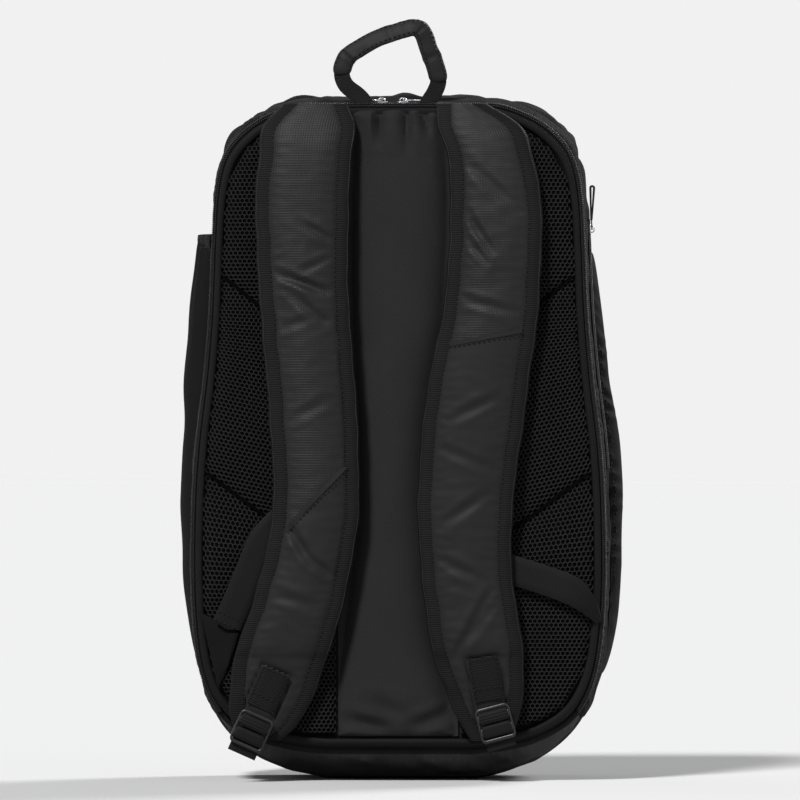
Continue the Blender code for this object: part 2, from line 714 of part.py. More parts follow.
def make_ladder_lock(side, centre, tilt):
    place = Matrix.Translation(centre) @ Matrix.Rotation(math.radians(tilt), 4, "Y")
    half = LOCK_WIDTH / 2
    columns = (-half, -half + LOCK_RAIL, half - LOCK_RAIL, half)
    filled = [(i, j) for j in range(7) for i in range(3) if i != 1 or j % 2 == 0]
    pivot = place @ Vector((0.0, 0.0, LOCK_LEVELS[-1] + LOCK_PIVOT_STEP))
    frame = cells(columns, LOCK_LEVELS, filled, -LOCK_THICK / 2, LOCK_THICK / 2)
    add_piece(f"ladder_lock_{side}", frame, "plastic", pivot, place)

    band_half = WEBBING_WIDTH / 2
    bar_low = LOCK_LEVELS[4] - LOOP_CLEARANCE
    bar_high = LOCK_LEVELS[5] + LOOP_CLEARANCE
    inner = LOCK_THICK / 2 + LOOP_CLEARANCE
    outer = inner + WEBBING_THICK
    loops = []
    for x, grow in ((-band_half, WEBBING_THICK), (band_half, WEBBING_THICK), (band_half, 0.0),
                    (-band_half, 0.0)):
        reach = outer if grow else inner
        loops.append([
            Vector((x, -reach, bar_low - grow)), Vector((x, reach, bar_low - grow)),
            Vector((x, reach, bar_high + grow)), Vector((x, -reach, bar_high + grow)),
        ])
    add_piece(f"tab_loop_{side}", skin(loops, wrap=True), "webbing", pivot, place)

    step = LOOP_CLEARANCE + WEBBING_THICK / 2
    reach = LOCK_THICK / 2 + step
    above = LOCK_LEVELS[3] + step
    below = LOCK_LEVELS[2] - step
    turn = step
    route = (
        (reach + turn, above), (turn - reach, above), (-reach, above - turn),
        (-reach, below + turn), (turn - reach, below), (reach - turn, below),
        (reach, below - turn), (reach, TAIL_END),
    )
    path = [Vector((0.0, y, z)) for y, z in route]
    across = [Vector((1.0, 0.0, 0.0))] * len(path)
    band = ribbon(path, across, WEBBING_WIDTH, WEBBING_THICK)
    add_piece(f"webbing_tail_{side}", band, "webbing", pivot, place)


def make_anchor(side, corners, points):
    """Fabric wing at the side seam and the adjuster webbing sewn to it."""
    foot = [Vector(corner) for corner in corners]
    normal = (foot[1] - foot[0]).cross(foot[3] - foot[0]).normalized()
    if normal.y > 0:
        normal = -normal
    rings = [foot, [corner + normal * WING_THICK for corner in foot]]
    add_piece(f"anchor_wing_{side}", skin(rings), "polyester")
    path = smooth_path(points, 3)
    across = []
    for i in range(len(path)):
        run = path[min(i + 1, len(path) - 1)] - path[max(i - 1, 0)]
        across.append(Vector((-run.z, 0.0, run.x)))
    band = ribbon(path, across, WEBBING_WIDTH, WEBBING_THICK)
    add_piece(f"adjuster_webbing_{side}", band, "webbing")


def make_harness():
    for side, stations in (("left", LEFT_STRAP), ("right", RIGHT_STRAP)):
        centre, tilt, tab_top, tab_bottom = LADDER_LOCKS[side]
        pivot = make_strap(side, stations)
        make_strap_tab(side, pivot, tab_top, tab_bottom)
        make_webbing_run(side, pivot, centre, ADJUSTERS[side][-1])
        make_ladder_lock(side, centre, tilt)
        make_anchor(side, WINGS[side], ADJUSTERS[side])


def make_handle():
    path = smooth_path([(x, HANDLE_Y, z) for x, z in HANDLE_PATH], HANDLE_STEPS)
    last = len(path) - 1
    across = []
    for i in range(len(path)):
        run = path[min(i + 1, last)] - path[max(i - 1, 0)]
        flat = Vector((-run.z, 0.0, run.x)).normalized()
        lean = HANDLE_LEAN * math.sin(math.pi * i / last) ** 2
        across.append(flat * math.cos(lean) + Vector((0.0, math.sin(lean), 0.0)))
    across[0] = Vector((-1.0, 0.0, 0.0))
    across[last] = Vector((1.0, 0.0, 0.0))
    pivot = Vector((0.0, HANDLE_Y, HANDLE_PATH[0][1]))
    webbing = ribbon(path, across, HANDLE_WEBBING_WIDTH, WEBBING_THICK)
    add_piece("handle_webbing", webbing, "webbing", pivot)
    covered = slice(SLEEVE_SPAN[0] * HANDLE_STEPS, SLEEVE_SPAN[1] * HANDLE_STEPS + 1)
    inner_width = SLEEVE_WIDTH - 2 * SLEEVE_WALL
    inner_thick = SLEEVE_THICK - 2 * SLEEVE_WALL
    outside = band_rings(path, across, SLEEVE_WIDTH, SLEEVE_THICK)[covered]
    inside = band_rings(path, across, inner_width, inner_thick)[covered]
    sleeve = skin(outside + inside[::-1], wrap=True)
    add_piece("handle_sleeve", sleeve, "polyester", pivot)


def make_zip_slider(name, foot, along, up):
    """Slider with a bridge, and the pull whose bar turns under that bridge."""
    side = up.cross(along)
    place = Matrix.Translation(foot) @ Matrix((along, side, up)).transposed().to_4x4()
    block = [(i, 0) for i in range(5)]
    bridge = [(1, 1), (3, 1), (1, 2), (2, 2), (3, 2)]
    body = cells(SLIDER_LENGTHS, SLIDER_LEVELS, block + bridge,
                 -SLIDER_HALF_WIDTH, SLIDER_HALF_WIDTH)
    add_piece(f"{name}_slider", body, "metal", foot, place)
    lay_flat = Matrix(((1, 0, 0, 0), (0, 0, 1, 0), (0, 1, 0, 0), (0, 0, 0, 1)))
    filled = [(i, j) for i in range(3) for j in range(3) if (i, j) != (1, 1)]
    tab = cells(PULL_LENGTHS, PULL_WIDTHS, filled, PULL_LEVELS[0], PULL_LEVELS[1])
    pivot = place @ Vector((0.0, 0.0, sum(PULL_LEVELS) / 2))
    add_piece(f"{name}_pull", tab, "metal", pivot, place @ lay_flat)


def make_zip_sliders():
    right = Vector((1.0, 0.0, 0.0))
    up = Vector((0.0, 0.0, 1.0))
    racket_y = RACKET_ZIP_Y - PULL_WIDTHS[-1]
    racket_z = shell_point(1.0, racket_y + SLIDER_HALF_WIDTH).z + GAP
    main_y = MAIN_FRONT_Y - PULL_WIDTHS[-1] - GAP
    main_z = shell_point(1.0, main_y - SLIDER_HALF_WIDTH).z + GAP
    pairs = (("racket", RACKET_SLIDERS_X, racket_y, racket_z), ("main", MAIN_SLIDERS_X, main_y, main_z))
    for zip_name, places, y, z in pairs:
        for side, x, along in zip(("left", "right"), places, (-right, right)):
            make_zip_slider(f"{zip_name}_{side}", Vector((x, y, z)), along, up)
    pocket_y = POCKET_RIM_Y - 2 * GAP - PULL_WIDTHS[-1]
    pocket_z = FRONT_POCKET_HIGH_Z + GAP
    make_zip_slider("pocket", Vector((POCKET_SLIDER_X, pocket_y, pocket_z)), right, up)
    ends = []
    for z in (SIDE_SLIDER_Z - SIDE_SLIDER_RUN, SIDE_SLIDER_Z):
        ends.append(Vector((half_width_at(z, SIDE_SLIDER_Y), SIDE_SLIDER_Y, z)))
    along = (ends[1] - ends[0]).normalized()
    out = Vector((0.0, 1.0, 0.0)).cross(along)
    make_zip_slider("side", ends[1] + out * SIDE_SLIDER_STEP, along, out)


def clear_scene():
    for thing in list(bpy.data.objects):
        bpy.data.objects.remove(thing, do_unlink=True)


def main():
    clear_scene()
    make_back_panel()
    make_pads()
    make_racket_compartment()
    make_main_compartment()
    make_side_pockets()
    make_front()
    make_harness()
    make_handle()
    make_zip_sliders()


main()
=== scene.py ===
"""Looks of the racket backpack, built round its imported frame.

Metres, +Z up, harness side towards -Y. Every piece stands where its solid stands in the frame.
"""

import math

import bmesh
import bpy
import numpy as np
from bpy.props import FloatProperty, FloatVectorProperty, PointerProperty
from mathutils import Matrix, Vector, noise


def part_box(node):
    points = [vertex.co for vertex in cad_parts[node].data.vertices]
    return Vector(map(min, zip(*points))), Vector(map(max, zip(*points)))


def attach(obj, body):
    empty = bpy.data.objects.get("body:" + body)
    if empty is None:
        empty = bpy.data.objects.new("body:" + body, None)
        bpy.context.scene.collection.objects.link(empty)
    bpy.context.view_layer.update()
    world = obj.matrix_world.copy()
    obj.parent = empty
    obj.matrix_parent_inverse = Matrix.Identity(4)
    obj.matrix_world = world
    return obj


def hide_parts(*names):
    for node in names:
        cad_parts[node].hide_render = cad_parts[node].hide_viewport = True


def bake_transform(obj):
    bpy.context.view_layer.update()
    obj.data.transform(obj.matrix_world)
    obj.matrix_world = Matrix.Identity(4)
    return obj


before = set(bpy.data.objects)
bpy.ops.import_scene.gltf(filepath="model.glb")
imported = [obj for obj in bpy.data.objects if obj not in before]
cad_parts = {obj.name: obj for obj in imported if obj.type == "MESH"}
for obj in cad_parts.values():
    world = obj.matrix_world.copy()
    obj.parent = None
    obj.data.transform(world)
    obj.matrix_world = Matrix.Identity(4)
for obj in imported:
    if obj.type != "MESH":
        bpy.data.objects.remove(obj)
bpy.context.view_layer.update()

bl_info = {
    "name": "Racket backpack looks",
    "version": (1, 0, 0),
    "blender": (4, 5, 0),
    "location": "3D View > Sidebar > Racket backpack",
    "description": "Dresses the racket backpack's frame in fabric, mesh, webbing and zips",
    "category": "Object",
}

SIDES = (("left", -1.0), ("right", 1.0))
GAP = 0.0004
WALL = 0.004
WEBBING_THICK = 0.0012
WEBBING_WIDTH = 0.022

# Bag body, as in the frame
BAG_HEIGHT = 0.514
SHELL_HALF_WIDTH = 0.1565
BASE_SEAM_Z = 0.045
SHOULDER_SEAM_Z = 0.470
MOUTH_SEAM_Z = 0.504
HINGE_SEAM_Z = 0.052
HALF_OUTLINE = (
    (0.000, 0.000), (0.055, 0.000), (0.096, 0.010), (0.122, 0.027), (0.139, 0.049),
    (0.151, 0.086), (0.1565, 0.140), (0.1565, 0.205), (0.1535, 0.255), (0.147, 0.310),
    (0.143, 0.360), (0.141, 0.410), (0.138, 0.452), (0.131, 0.477), (0.117, 0.494),
    (0.098, 0.506), (0.072, 0.514), (0.000, 0.514),
)
BOARD_BACK_Y = -0.083
BOARD_FRONT_Y = -0.077
RACKET_ZIP_Y = -0.0708
DIVIDER_BACK_Y = -0.035
DIVIDER_FRONT_Y = -0.030
MAIN_ZIP_Y = 0.0582
MAIN_FRONT_Y = 0.065
PANEL_FACE_Y = 0.0745
POCKET_RIM_Y = 0.100
POCKET_FACE_Y = 0.115
# Y, narrowing of the half width, lowest and highest Z
SECTIONS = (
    (BOARD_BACK_Y, 0.004, 0.026, 0.506), (DIVIDER_BACK_Y, 0.001, 0.004, 0.513),
    (-0.022, 0.000, 0.000, 0.514), (0.045, 0.000, 0.000, 0.514),
    (MAIN_FRONT_Y, 0.004, 0.005, 0.511),
)
LOW_BLEND = 0.120
RING_POINTS = 360
GATHER_PITCH = 0.0062       # distance between the puckers beside a wall's rear seam

# Piping along the base's rear seam
PIPING_Y = -0.0775
PIPING_RADIUS = 0.0022

# Pads on the back
BINDING_RADIUS = 0.0027
BINDING_HEIGHT = 0.0019
BINDING_INSET = 0.0036
PAD_FLAT_Y = BOARD_BACK_Y - GAP
PAD_INSET = 0.0072
PAD_LOW_Z = 0.0340
PAD_HIGH_Z = 0.4985
PAD_SPAN = PAD_HIGH_Z - PAD_LOW_Z
SPINE_HIGH_Z = 0.5040       # its gathers cover the binding
PAD_ROLL = 0.016
PAD_RIM = 0.0012            # height of a pad's face at its rim, then what its roll and crown add
PAD_RISE = 0.0062
PAD_CROWN = 0.0030
PAD_LUMPS = 0.0015
NET_LOW_Z = 0.0325
NET_HIGH_Z = 0.5010
NET_LIFT = 0.0011
NET_DEPTH = 0.0020          # depth of its holes
NET_OVERLAP = 0.0035        # how far the mesh goes under the binding and the spine pad
NET_SLANT = 0.22            # climb of its rows between the channels
NET_SLANT_MIDDLE = 0.250
NET_SLANT_REACH = 0.085
CHANNELS = (0.35, 0.67)
CHANNEL_CLIMB = 0.080
# How a pad sinks at its sewn channels: reach as a share of the pad's height, depth
CHANNEL_DIPS = ((0.0130, 0.0045), (0.0420, 0.0040))
# Dark strips along the sewn channels, in the near-black foam finish: painted shade of the channel folds
CHANNEL_SHADE_WIDTH = 0.0024
CHANNEL_SHADE_LIFT = 0.0024
SPINE_PAD_SPACE = 0.0025
SPINE_ROLL = 0.017
SPINE_RIM = 0.0010
SPINE_RISE = 0.0050
SPINE_CROWN = 0.0054
SPINE_PRESS = 0.0068        # how deep the straps press the spine pad along their inner edges
SPINE_PRESS_REACH = 0.0100
SPINE_SHAPE = (
    (0.036, 0.0450), (0.120, 0.0450), (0.290, 0.0440), (0.430, 0.0440), (0.500, 0.0420),
)
# Gathers at the spine pad's top: X, half width, depth (ridges negative), length and lean
GATHERS = (
    (-0.0205, 0.0024, -0.0026, 0.024, -0.05), (-0.0140, 0.0030, 0.0095, 0.030, -0.04),
    (-0.0042, 0.0040, -0.0020, 0.034, 0.02), (0.0058, 0.0034, 0.0085, 0.036, 0.05),
    (0.0118, 0.0028, -0.0018, 0.028, 0.14), (0.0168, 0.0026, 0.0068, 0.022, 0.30),
    (0.0215, 0.0022, 0.0050, 0.018, 0.10),
)
GATHER_RISE = 0.0022        # how much thicker the gathered cloth stands, from how far down, and its ramp
GATHER_DROP = 0.036
GATHER_RAMP = 0.020
# Creases at its foot: two ends (X, Z), half width and depth
SPINE_CREASES = (
    (-0.0380, 0.0460, -0.0040, 0.0390, 0.0050, 0.0034),
    (0.0080, 0.0390, 0.0390, 0.0520, 0.0050, 0.0028), (-0.0200, 0.0600, 0.0060, 0.0480, 0.0060, 0.0018),
)

# Shoulder straps: height, left edge and right edge
STRAPS = {
    "left": (
        (0.5085, -0.0847, -0.0383), (0.492, -0.0997, -0.0331), (0.473, -0.1027, -0.0346),
        (0.436, -0.1057, -0.0367), (0.361, -0.1025, -0.0367), (0.286, -0.0961, -0.0312),
        (0.211, -0.0923, -0.0290), (0.173, -0.0977, -0.0331), (0.136, -0.1073, -0.0406),
        (0.098, -0.1200, -0.0518), (0.061, -0.1253, -0.0653), (0.042, -0.1223, -0.0773),
        (0.031, -0.1147, -0.0897),
    ),
    "right": (
        (0.5085, 0.0299, 0.0653), (0.492, 0.0307, 0.0903), (0.473, 0.0373, 0.0993),
        (0.436, 0.0403, 0.1068), (0.361, 0.0359, 0.1053), (0.286, 0.0217, 0.0959),
        (0.211, 0.0157, 0.0862), (0.173, 0.0172, 0.0847), (0.136, 0.0209, 0.0877),
        (0.098, 0.0269, 0.0937), (0.061, 0.0397, 0.0927), (0.042, 0.0493, 0.0873),
        (0.031, 0.0563, 0.0833),
    ),
}
STRAP_THICK = 0.0115
# Height, Y of the inner face and share of the full thickness
STRAP_LIE = (
    (0.031, -0.0985, 0.45), (0.050, -0.0992, 0.50), (0.090, -0.1012, 0.80),
    (0.130, -0.1035, 1.00), (0.380, -0.1035, 1.00), (0.430, -0.1024, 0.98),
    (0.470, -0.0992, 0.88), (0.495, -0.0938, 0.68), (0.5085, -0.0900, 0.55),
)
STRAP_ROWS = 270
STRAP_RIM = 0.42            # share of the thickness left under the binding
STRAP_PUFF = 0.017          # width over which the padding rises beside the binding
STRAP_BOUND = 0.0092        # width that the binding keeps flat
STRAP_PUCKER_PITCH = 0.0075
TAB_EXTRA = 0.0006          # how much thicker a tab is than the webbing
BINDING_THICK = 0.0009
STRAP_SLACK = (0.045, 0.045)    # spare length of the cloth above and below the seam
STRAP_STIFFNESS = 0.15
STRAP_HELD_Z = 0.490
STRAP_SEAM_WIDTH = 0.0036
# Seam between the two fabrics of each strap (X, Z)
STRAP_SEAMS = {
    "left": ((-0.0920, 0.1820), (-0.0848, 0.1870), (-0.0705, 0.2030), (-0.0420, 0.2330),
             (-0.0310, 0.2440)),
    "right": ((0.0280, 0.3255), (0.0412, 0.3285), (0.0660, 0.3330), (0.0922, 0.3380),
              (0.1060, 0.3410)),
}
# How crumpled each strap's cloth is: height and share
STRAP_CRUSH = {
    "left": ((0.08, 0.9), (0.13, 0.6), (0.20, 0.8), (0.25, 0.5), (0.31, 0.8), (0.35, 1.3),
             (0.41, 1.2), (0.45, 0.4)),
    "right": ((0.08, 1.1), (0.15, 1.1), (0.20, 0.7), (0.26, 0.8), (0.33, 0.6), (0.38, 1.0),
              (0.43, 1.0), (0.47, 0.6)),
}
# Creases: two ends (X, Z), half width and depth
STRAP_CREASES = {
    "left": (
        (-0.0728, 0.4193, -0.0488, 0.4058, 0.003, 0.0012),
        (-0.093, 0.3818, -0.0518, 0.3668, 0.0032, 0.0016),
        (-0.0705, 0.3833, -0.0503, 0.3923, 0.0028, 0.001), (-0.0803, 0.366, -0.054, 0.3443, 0.0034, 0.0012),
        (-0.0915, 0.3383, -0.0653, 0.3473, 0.0032, 0.0008), (-0.086, 0.268, -0.05, 0.287, 0.0036, 0.0007),
        (-0.0803, 0.1898, -0.0638, 0.1643, 0.0034, 0.0016),
        (-0.063, 0.1658, -0.0488, 0.1545, 0.0032, 0.0012),
        (-0.094, 0.142, -0.062, 0.132, 0.004, 0.0008), (-0.1103, 0.1058, -0.1058, 0.087, 0.0026, 0.001),
    ),
    "right": (
        (0.0532, 0.4245, 0.0712, 0.3968, 0.003, 0.0012), (0.0532, 0.4058, 0.0667, 0.3893, 0.0026, 0.001),
        (0.052, 0.464, 0.092, 0.428, 0.004, 0.0009), (0.046, 0.362, 0.088, 0.352, 0.0034, 0.0009),
        (0.0382, 0.2708, 0.0772, 0.2895, 0.0036, 0.001), (0.034, 0.25, 0.076, 0.232, 0.0036, 0.0007),
        (0.0322, 0.192, 0.0682, 0.2168, 0.0036, 0.001), (0.0435, 0.0945, 0.0712, 0.1448, 0.0032, 0.0016),
        (0.0547, 0.1058, 0.0735, 0.1358, 0.0028, 0.0012), (0.03, 0.168, 0.066, 0.15, 0.0036, 0.0008),
    ),
}

# Ladder locks: centre, tilt about Y in degrees, the tab's two ends (X, Z)
LADDER_LOCKS = {
    "left": ((-0.1091, -0.1095, 0.0385), 24.0, (-0.0905, 0.0830), (-0.1026, 0.0557)),
    "right": ((0.0734, -0.1095, 0.0443), -15.0, (0.0637, 0.0930), (0.0690, 0.0615)),
}
LOCK_WIDTH = 0.0266
LOCK_RAIL = 0.0019
LOCK_THICK = 0.0032
LOCK_CORNER = 0.0042
LOCK_LEVELS = (-0.0135, -0.0105, -0.0081, -0.0016, 0.0024, 0.0084, 0.0108, 0.0135)
LOOP_CLEARANCE = 0.0003
TAIL_END = -0.0195
ADJUSTERS = {
    "left": ((-0.1290, -0.1003, 0.1150), (-0.1145, -0.1003, 0.1480),
             (-0.1006, -0.1000, 0.1808), (-0.0833, -0.0990, 0.1995)),
    "right": ((0.1405, -0.0990, 0.1345), (0.1310, -0.1010, 0.1430),
              (0.1114, -0.1005, 0.1508), (0.0889, -0.1000, 0.1579), (0.0626, -0.0990, 0.1660)),
}
# Where the webbing goes on under the edge binding
TUCKED_ENDS = {"left": (), "right": ((0.1505, -0.0872, 0.1195), (0.1465, -0.0935, 0.1265))}
TUCK_LENGTH = {"left": 1e-6, "right": 0.034}    # length over which it narrows into the seam
TUCK_SHARE = 0.15
WINGS = {
    "left": ((-0.1478, -0.0895, 0.1268), (-0.1190, -0.0975, 0.1118),
             (-0.1265, -0.0945, 0.0860), (-0.1350, -0.0895, 0.0700)),
    "right": ((0.1520, -0.0841, 0.1380), (0.1370, -0.0860, 0.1310),
              (0.1390, -0.0860, 0.1060), (0.1435, -0.0841, 0.0800)),
}
WING_TUCK = {"left": 0.0, "right": 0.62}    # share of its width that is tucked away

# Haul handle
HANDLE_PATH = (
    (-0.0240, 0.5089), (-0.0300, 0.5150), (-0.0392, 0.5225), (-0.0424, 0.5310),
    (-0.0400, 0.5415), (-0.0345, 0.5472), (-0.0165, 0.5575), (0.0005, 0.5635),
    (0.0135, 0.5660), (0.0190, 0.5612), (0.0228, 0.5500), (0.0278, 0.5370),
    (0.0300, 0.5255), (0.0268, 0.5165), (0.0215, 0.5089),
)
HANDLE_Y = -0.0806
HANDLE_LEAN = math.radians(30)
HANDLE_STEPS = 10
HANDLE_WEBBING_WIDTH = 0.0122
SLEEVE_WIDTH = 0.0165
SLEEVE_THICK = 0.0052
SLEEVE_SPAN = (3, 12)
SLEEVE_RIDGE = 0.4          # where its cover is folded, from the middle to the outer edge
SLEEVE_BENDS = (0.155, 0.40, 0.615, 0.83)
# Pieces on these bodies have their placement baked into their points; the rest of each row, two bodies and
# two points, is not used
BENDS = {"handle": ("bag", "handle", (0.0, HANDLE_Y, 0.5160), (0.0, HANDLE_Y, 0.5330))}

# Side pockets
POCKET_BACK_Y = -0.018
POCKET_FRONT_Y = 0.0445
SIDE_STEPS = 12
POCKET_STEPS = {-1.0: (1, 10.32), 1.0: (1, 10)}
LEFT_POCKET_RISE = (10.32 - 1) / (10 - 1)
POCKET_SHEET = 0.0024
SIDE_BULGE = 0.0092
# Bulge of the left pocket: share of its height up to the solid's mouth, bulge
LEFT_POCKET_BULGE = (
    (0.0, 0.0), (0.15, 0.0045), (0.30, 0.0068), (0.42, 0.0092), (0.58, 0.0105),
    (0.70, 0.0150), (0.90, 0.0145), (1.0, 0.0115), (1.05, 0.0085),
)
MOUTH_DRAW = 0.15
FOOT_RISE = 0.35
POCKET_ROWS = 200
POCKET_COLUMNS = 34
POCKET_FREE = (44, 155)         # rows of the right pocket between which it opens as one
POCKET_FREE_LAP = 4
SIDE_ZIP_SPAN = (0.235, 0.4215)     # lowest and highest Z of the side zip
SIDE_TAPE_THICK = 0.0024
SIDE_COIL_WIDTH = 0.0042

# Inside
SLEEVE_HALF_WIDTH = 0.100
SLEEVE_LOW_Z = 0.032
SLEEVE_HIGH_Z = 0.335
SLEEVE_BULGE = 0.0120

# Front
PANEL_BACK_Y = MAIN_FRONT_Y + GAP / 2
FRONT_POCKET_LOW_Z = 0.078
FRONT_POCKET_HIGH_Z = 0.335
FRONT_POCKET_HALF_LOW = 0.098
FRONT_POCKET_HALF_HIGH = 0.086
FRONT_POCKET_RADIUS = 0.030

# Zip sliders
SLIDER_HALF_WIDTH = 0.0025
SLIDER_HALF_TAIL = 0.0019
SLIDER_HALF_LENGTH = 0.0042
SLIDER_PLATES = ((0.0, 0.0008), (0.0016, 0.0024))
SLIDER_ARCH = (
    (-0.0022, 0.0022), (-0.0023, 0.0038), (-0.0014, 0.0048), (0.0014, 0.0048), (0.0023, 0.0038),
    (0.0022, 0.0022),
)
PULL_LENGTH = 0.0220
PULL_LEVEL = 0.0033
PULL_HALF_THICK = 0.0005
CORD_LENGTH = 0.0105        # how far the side zip's cord loop goes on past a plain pull
CORD_RADIUS = 0.0009
CORD_NECK_RADIUS = 0.0006
SIDE_SLIDER_Y = -0.0238
SIDE_SLIDER_Z = 0.4150
SIDE_SLIDER_RUN = 0.1000
SIDE_SLIDER_STEP = 0.0010

# Cloth is settled at this scale, where the solver is steadier, over so many frames
CLOTH_SCALE = 10.0
CLOTH_FRAMES = 18
CLOTH_QUALITY = 4
CLOTH_MASS = 0.3
CLOTH_STRETCH = 15.0
CLOTH_SHEAR = 8.0

# Stage
FLOOR_REACH = 30.0
FLOOR_SHADE = 0.62
BACKDROP_SHADE = 0.88
WORLD_COLOUR = (0.95, 0.97, 1.0, 1.0)
WORLD_STRENGTH = 0.12
# Lights: azimuth (0 is the harness side, 90 the right), height, strength and softness
LIGHTS = (
    ("key", -25, 45, 3.5, 10), ("fill", 45, 12, 0.3, 60), ("front_key", 140, 30, 2.8, 20),
    ("front_fill", 225, 15, 0.5, 60),
)
HARNESS_Y = -0.090          # depth plane at which the picture is 0.6 m wide
CAMERA_LENS = 480.0
CAMERA_DISTANCE = 8.0
CAMERA_TURN = math.radians(1.5)
CAMERA_X = 0.0015
CAMERA_Z = 0.2862

# Materials by name, once they are made
FINISHES = {}

# Sewn lines gathered by body, as (points, facing) pairs, until the stitching is made
SEWN = {}


def sizes():
    """Sizes of the fine detail, as set in the sidebar."""
    return bpy.context.scene.racket_bag_sizes


def colours():
    """Colours of the finishes, as set in the sidebar."""
    return bpy.context.scene.racket_bag_colours


def read(table, keys, column):
    """Values of a table's column at keys between its rows, whose first column rises."""
    rows = np.asarray(table, float)
    return np.interp(keys, rows[:, 0], rows[:, column])


def unit(rows):
    """Rows of vectors, each brought to a length of 1."""
    return rows / np.linalg.norm(rows, axis=1, keepdims=True)


def smooth_curve(points, steps):
    """Points on a smooth curve through the given ones, with so many steps a span."""
    knots = np.asarray(points, float)
    gaps = np.linalg.norm(np.diff(knots, axis=0), axis=1)
    travel = np.concatenate([[0.0], np.cumsum(gaps)])
    order = np.arange(len(knots))
    before = np.maximum(order - 1, 0)
    after = np.minimum(order + 1, len(knots) - 1)
    slopes = (knots[after] - knots[before]) / (travel[after] - travel[before])[:, None]
    t = (np.arange(steps) / steps)[None, :, None]
    spans = gaps[:, None, None]
    path = knots[:-1, None] * (2 * t**3 - 3 * t**2 + 1)
    path = path + slopes[:-1, None] * spans * (t**3 - 2 * t**2 + t)
    path = path + knots[1:, None] * (3 * t**2 - 2 * t**3)
    path = path + slopes[1:, None] * spans * (t**3 - t**2)
    return np.concatenate([path.reshape(-1, knots.shape[1]), knots[-1:]])


def outline_table():
    """Rows of (share of the half outline's length, X, Z), from bottom to top centre."""
    points = smooth_curve(HALF_OUTLINE, 20)
    points[:, 1] = np.clip(points[:, 1], 0.0, BAG_HEIGHT)
    travel = np.concatenate([[0.0], np.cumsum(np.linalg.norm(np.diff(points, axis=0), axis=1))])
    return np.column_stack([travel / travel[-1], points])


OUTLINE = outline_table()


def seam_at(height):
    """Share of the half outline at which it reaches a height."""
    return np.interp(height, OUTLINE[:, 2], OUTLINE[:, 0])


def shell(shares, y, depth=0.0):
    """Points of the bag's shell. Share 0 is the bottom centre, 1 the top centre, -1 and 2 go left."""
    shares, y, depth = np.broadcast_arrays(np.asarray(shares, float), y, depth)
    side = np.where((shares >= 0.0) & (shares <= 1.0), 1.0, -1.0)
    folded = np.abs(shares)
    folded = np.where(folded > 1.0, 2.0 - folded, folded)
    x = side * np.interp(folded, OUTLINE[:, 0], OUTLINE[:, 1])
    z = np.interp(folded, OUTLINE[:, 0], OUTLINE[:, 2])
    narrow = read(SECTIONS, y, 1) + depth
    height = z * read(SECTIONS, y, 3) / BAG_HEIGHT
    height = height + read(SECTIONS, y, 2) * np.maximum(1 - z / LOW_BLEND, 0.0) ** 2
    height = height + depth * (1 - 2 * z / BAG_HEIGHT)
    return np.stack([x * (1 - narrow / SHELL_HALF_WIDTH), y, height], -1)


def half_width(heights, y, depth=0.0):
    """Half width of the bag's shell at heights in one depth plane."""
    points = shell(OUTLINE[:, 0], y, depth)
    return np.interp(heights, points[:, 2], points[:, 0])


def side_share(step):
    """Outline share at a step of the side wall, between the base and shoulder seams."""
    start = seam_at(BASE_SEAM_Z)
    return start + (seam_at(SHOULDER_SEAM_Z) - start) * step / SIDE_STEPS


def wrinkle(points, size, seed):
    """Smooth noise from -1 to 1 at points, with folds of about a size (one number or three)."""
    places = np.asarray(points).reshape(-1, 3) / np.asarray(size) + seed * 7.31
    values = np.array([noise.noise(place) for place in places.tolist()])
    return values.reshape(np.shape(points)[:-1])


def crumpled(points, size, seed):
    """Sharp-edged crumples from about -1 to 0.3 at points, with facets of about a size."""
    return 0.3 - np.abs(wrinkle(points, size, seed)) * 2.6


def rolled(distance, radius):
    """Share of the full height near an edge that is rolled over a radius."""
    return np.sqrt(1 - (1 - np.clip(distance / radius, 0.0, 1.0)) ** 2)


def creased(x, z, lines):
    """Depth of the creases drawn as (X, Z) lines with a half width and a depth."""
    total = np.zeros_like(x)
    for x0, z0, x1, z1, width, depth in lines:
        run = np.array((x1 - x0, z1 - z0))
        along = ((x - x0) * run[0] + (z - z0) * run[1]) / (run @ run)
        held = np.clip(along, 0.0, 1.0)
        away = np.hypot(x - x0 - held * run[0], z - z0 - held * run[1]) / width
        fade = np.sin(np.pi * np.clip(0.12 + 0.76 * held, 0.0, 1.0))
        total += depth * fade * (np.exp(-away**2) - 0.45 * np.exp(-((away - 1.7) / 0.8) ** 2))
    return total


def corners(grid):
    """The four corners of every cell of a grid, one row per cell."""
    cell = np.stack([grid[:-1, :-1], grid[1:, :-1], grid[1:, 1:], grid[:-1, 1:]], 2)
    return cell.reshape(-1, 4, *grid.shape[2:])


